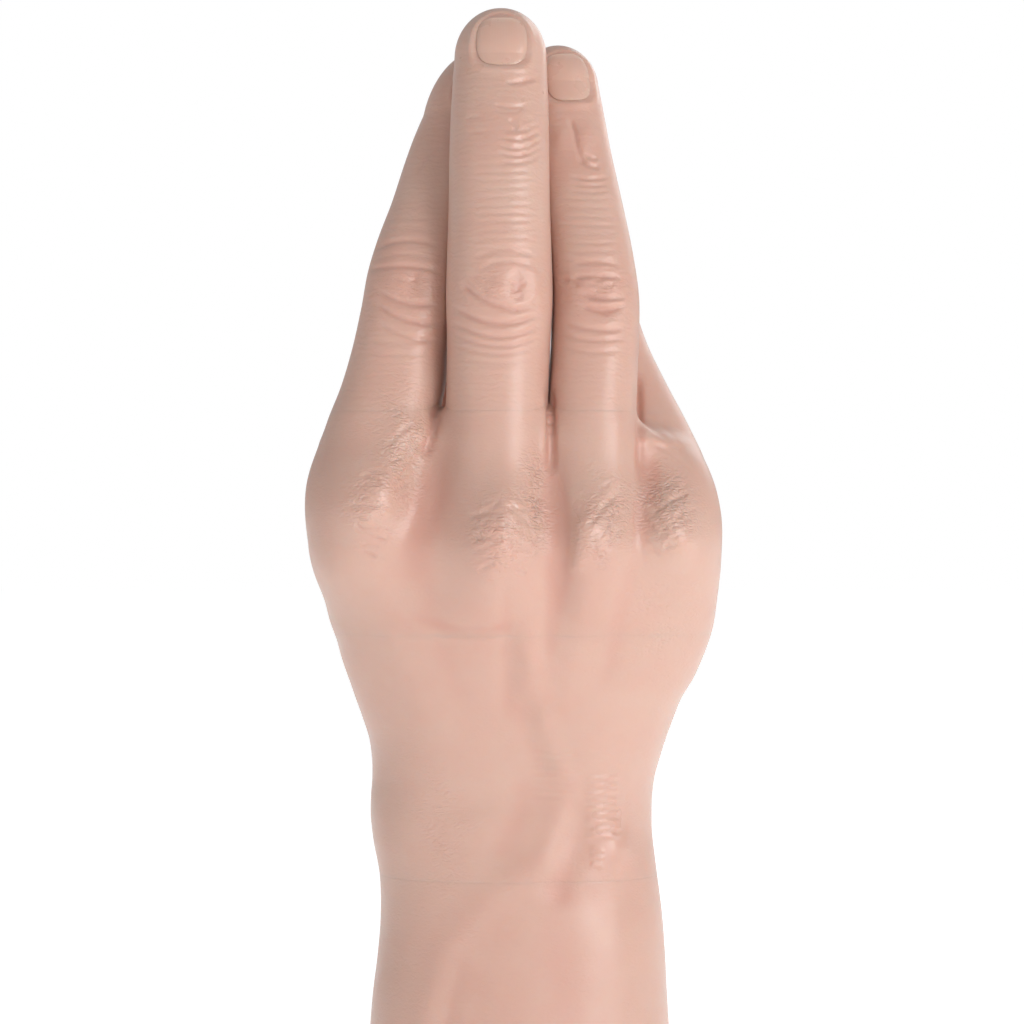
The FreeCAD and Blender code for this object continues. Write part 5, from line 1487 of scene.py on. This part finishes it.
@dataclass(frozen=True)
class Studio:
    """Pale floor, soft light from all sides and the camera.

    Args:
        centre: the middle of the view, in metres.
        view_height: height of the view there.
        lens: the camera's focal length in millimetres.
    """

    centre: tuple[float, float, float] = (-0.0006, -0.012, 0.1522)
    view_height: float = 0.2048
    lens: float = 120.0

    def tone(self) -> None:
        """Plain display colours, so that the pale studio stays pale."""
        bpy.context.scene.view_settings.view_transform = "Standard"

    def camera(self) -> None:
        """A long lens square on the back of the hand, level with the middle of the view."""
        data = bpy.data.cameras.new("studio_camera")
        data.lens = self.lens
        data.sensor_width = 36.0
        data.clip_end = 20.0
        obj = place("studio_camera", data)
        away = self.view_height * self.lens / 36.0
        x, y, z = self.centre
        obj.location = (x, y - away, z)
        obj.rotation_euler = (math.radians(90), 0.0, 0.0)
        bpy.context.scene.camera = obj

    def floor(self) -> None:
        """A wide round floor, a little under the base, as a grid in polar coordinates."""
        around, rings = 96, 5
        theta = np.linspace(0, 2 * math.pi, around, endpoint=False)
        radius = np.array([0.05, 0.3, 1.0, 3.0, 6.0])
        x, y = np.outer(radius, np.cos(theta)), np.outer(radius, np.sin(theta))
        points = np.stack([x, y, np.full_like(x, -0.0002)], -1).reshape(-1, 3)
        faces = ring_faces(rings, around).tolist()
        faces.append(list(range(around)))
        mesh = bpy.data.meshes.new("studio_floor")
        mesh.from_pydata(points.tolist(), [], faces)
        obj = place("studio_floor", mesh)
        s = Shader("floor_paper")
        where = s.node("ShaderNodeTexCoord").outputs["Object"]
        colour = s.blend(s.noise(where, 40.0), (0.9, 0.9, 0.9, 1.0), (0.88, 0.88, 0.885, 1.0))
        s.link(colour, s.surface.inputs["Base Color"])
        s.set(roughness=0.95, specular_ior_level=0.1, emission_strength=0.62)
        s.surface.inputs["Emission Color"].default_value = (1.0, 1.0, 1.0, 1.0)
        mesh.materials.append(s.material)

    def light(self) -> None:
        """A white surround that lights less than it shows, a broad key and a tall strip from the right."""
        world = bpy.data.worlds.new("studio_world")
        bpy.context.scene.world = world
        world.use_nodes = True
        tree = world.node_tree
        back = tree.nodes["Background"]
        seen = tree.nodes.new("ShaderNodeLightPath")
        strength = tree.nodes.new("ShaderNodeMapRange")
        strength.inputs["To Min"].default_value = 0.43
        strength.inputs["To Max"].default_value = 1.0
        tree.links.new(seen.outputs["Is Camera Ray"], strength.inputs["Value"])
        tree.links.new(strength.outputs["Result"], back.inputs["Strength"])
        back.inputs["Color"].default_value = (1.0, 1.0, 1.0, 1.0)
        for name, spot, wide, tall, power in (
            ("key", (0.85, -0.95, 0.42), 0.55, 0.9, 7.0),
            ("strip", (0.62, -1.1, 0.2), 0.3, 0.7, 2.4),
            ("fill", (-1.0, -0.9, 0.5), 0.6, 0.9, 0.4),
            ("back", (0.5, 0.9, 0.7), 0.6, 0.6, 1.6),
        ):
            data = bpy.data.lights.new(f"studio_{name}", "AREA")
            data.shape = "RECTANGLE"
            data.size, data.size_y, data.energy = wide, tall, power
            obj = place(f"studio_{name}", data)
            obj.location = spot
            aim = Vector((0.0, -0.01, 0.15)) - Vector(spot)
            obj.rotation_euler = aim.to_track_quat("-Z", "Y").to_euler()


CUTS = {
    "forearm": Cut(
        "skin_forearm",
        None,
        79.0,
        ("forearm", "hand"),
        ("forearm_skin", "forearm_core"),
        start=(0, 0, 20),
        end=(0, 0, 75),
    ),
    "hand": Cut("skin_hand", 79.0, 128.0, ("hand",), ("palm_skin",)),
    "knuckles": Cut(
        "skin_knuckles", 128.0, 172.0, ("hand", "fingers"), ("knuckle_pad",), start=(0, -22, 134), end=(0, -22, 160)
    ),
    "thumb_root": Cut(
        "skin_thumb_root", None, 129.0, ("hand", "thumb_base"), ("thenar_pad",), start=(-16, 3, 104), end=(-17, 6, 125)
    ),
    "thumb": Cut(
        "skin_thumb", 129.0, None, ("thumb_base", "thumb"), ("thumb_tip",), start=(-17, 7, 134), end=(-17, 9, 153)
    ),
    "index": Cut("skin_index", 172.0, None, ("fingers",), ("index_finger",)),
    "middle": Cut("skin_middle", 172.0, None, ("fingers",), ("middle_finger",)),
    "ring": Cut("skin_ring", 172.0, None, ("fingers",), ("ring_finger",)),
    "little": Cut("skin_little", 172.0, None, ("fingers",), ("little_finger",)),
}
NAILS = (
    Nail(Digit.MIDDLE, "fingers", 245.0, 5.9, 6.2, -2.0),
    Nail(Digit.RING, "fingers", 238.6, 5.2, 6.0, -12.0),
    Nail(Digit.INDEX, "fingers", 237.6, 5.0, 5.4, -16.0),
    Nail(Digit.LITTLE, "fingers", 220.0, 4.4, 4.6, -24.0),
    Nail(Digit.THUMB, "thumb", 199.5, 6.4, 6.6, 180.0),
)


def build_skin(form: HandForm) -> None:
    """Builds the nine skin pieces, from the forearm to the fingertips."""
    skin = Skin(form, SkinFinish().material())
    skin.build(CUTS["forearm"], skin.forearm, (-36, -28, -1), (36, 28, 84))
    skin.build(CUTS["thumb_root"], form.thumb, (-34, -16, 90), (2, 24, 135))
    broad = Skin(form, skin.material, Mesher(0.94))
    broad.build(CUTS["hand"], form.fist, (-42, -42, 73), (42, 24, 133))
    broad.build(CUTS["knuckles"], form.fist, (-45, -43, 122), (44, 26, 178))
    fine = Skin(form, skin.material, Mesher(0.84))
    fine.build(CUTS["thumb"], form.finger(Digit.THUMB), (-32, -6, 123), (6, 24, 211))
    fine.build(CUTS["index"], form.finger(Digit.INDEX), (-38, -32, 166), (2, 14, 248))
    fine.build(CUTS["middle"], form.finger(Digit.MIDDLE), (-16, -37, 166), (10, -2, 255))
    fine.build(CUTS["ring"], form.finger(Digit.RING), (-2, -34, 166), (28, 10, 250))
    fine.build(CUTS["little"], form.finger(Digit.LITTLE), (2, -24, 166), (38, 18, 230))


def main() -> None:
    """Builds the studio, the skin, the nails and the finishes of the frame, in that order."""
    logging.basicConfig(level=logging.INFO, format="%(message)s")
    studio = Studio()
    studio.tone()
    studio.camera()
    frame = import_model()
    studio.floor()
    studio.light()
    form = HandForm(marks=back_marks(), nails=NAILS)
    build_skin(form)
    nail_material = NailFinish().material()
    for nail in NAILS:
        nail.build(form, nail_material)
    Mechanism(frame).dress()


if __name__ == "__main__":
    main()
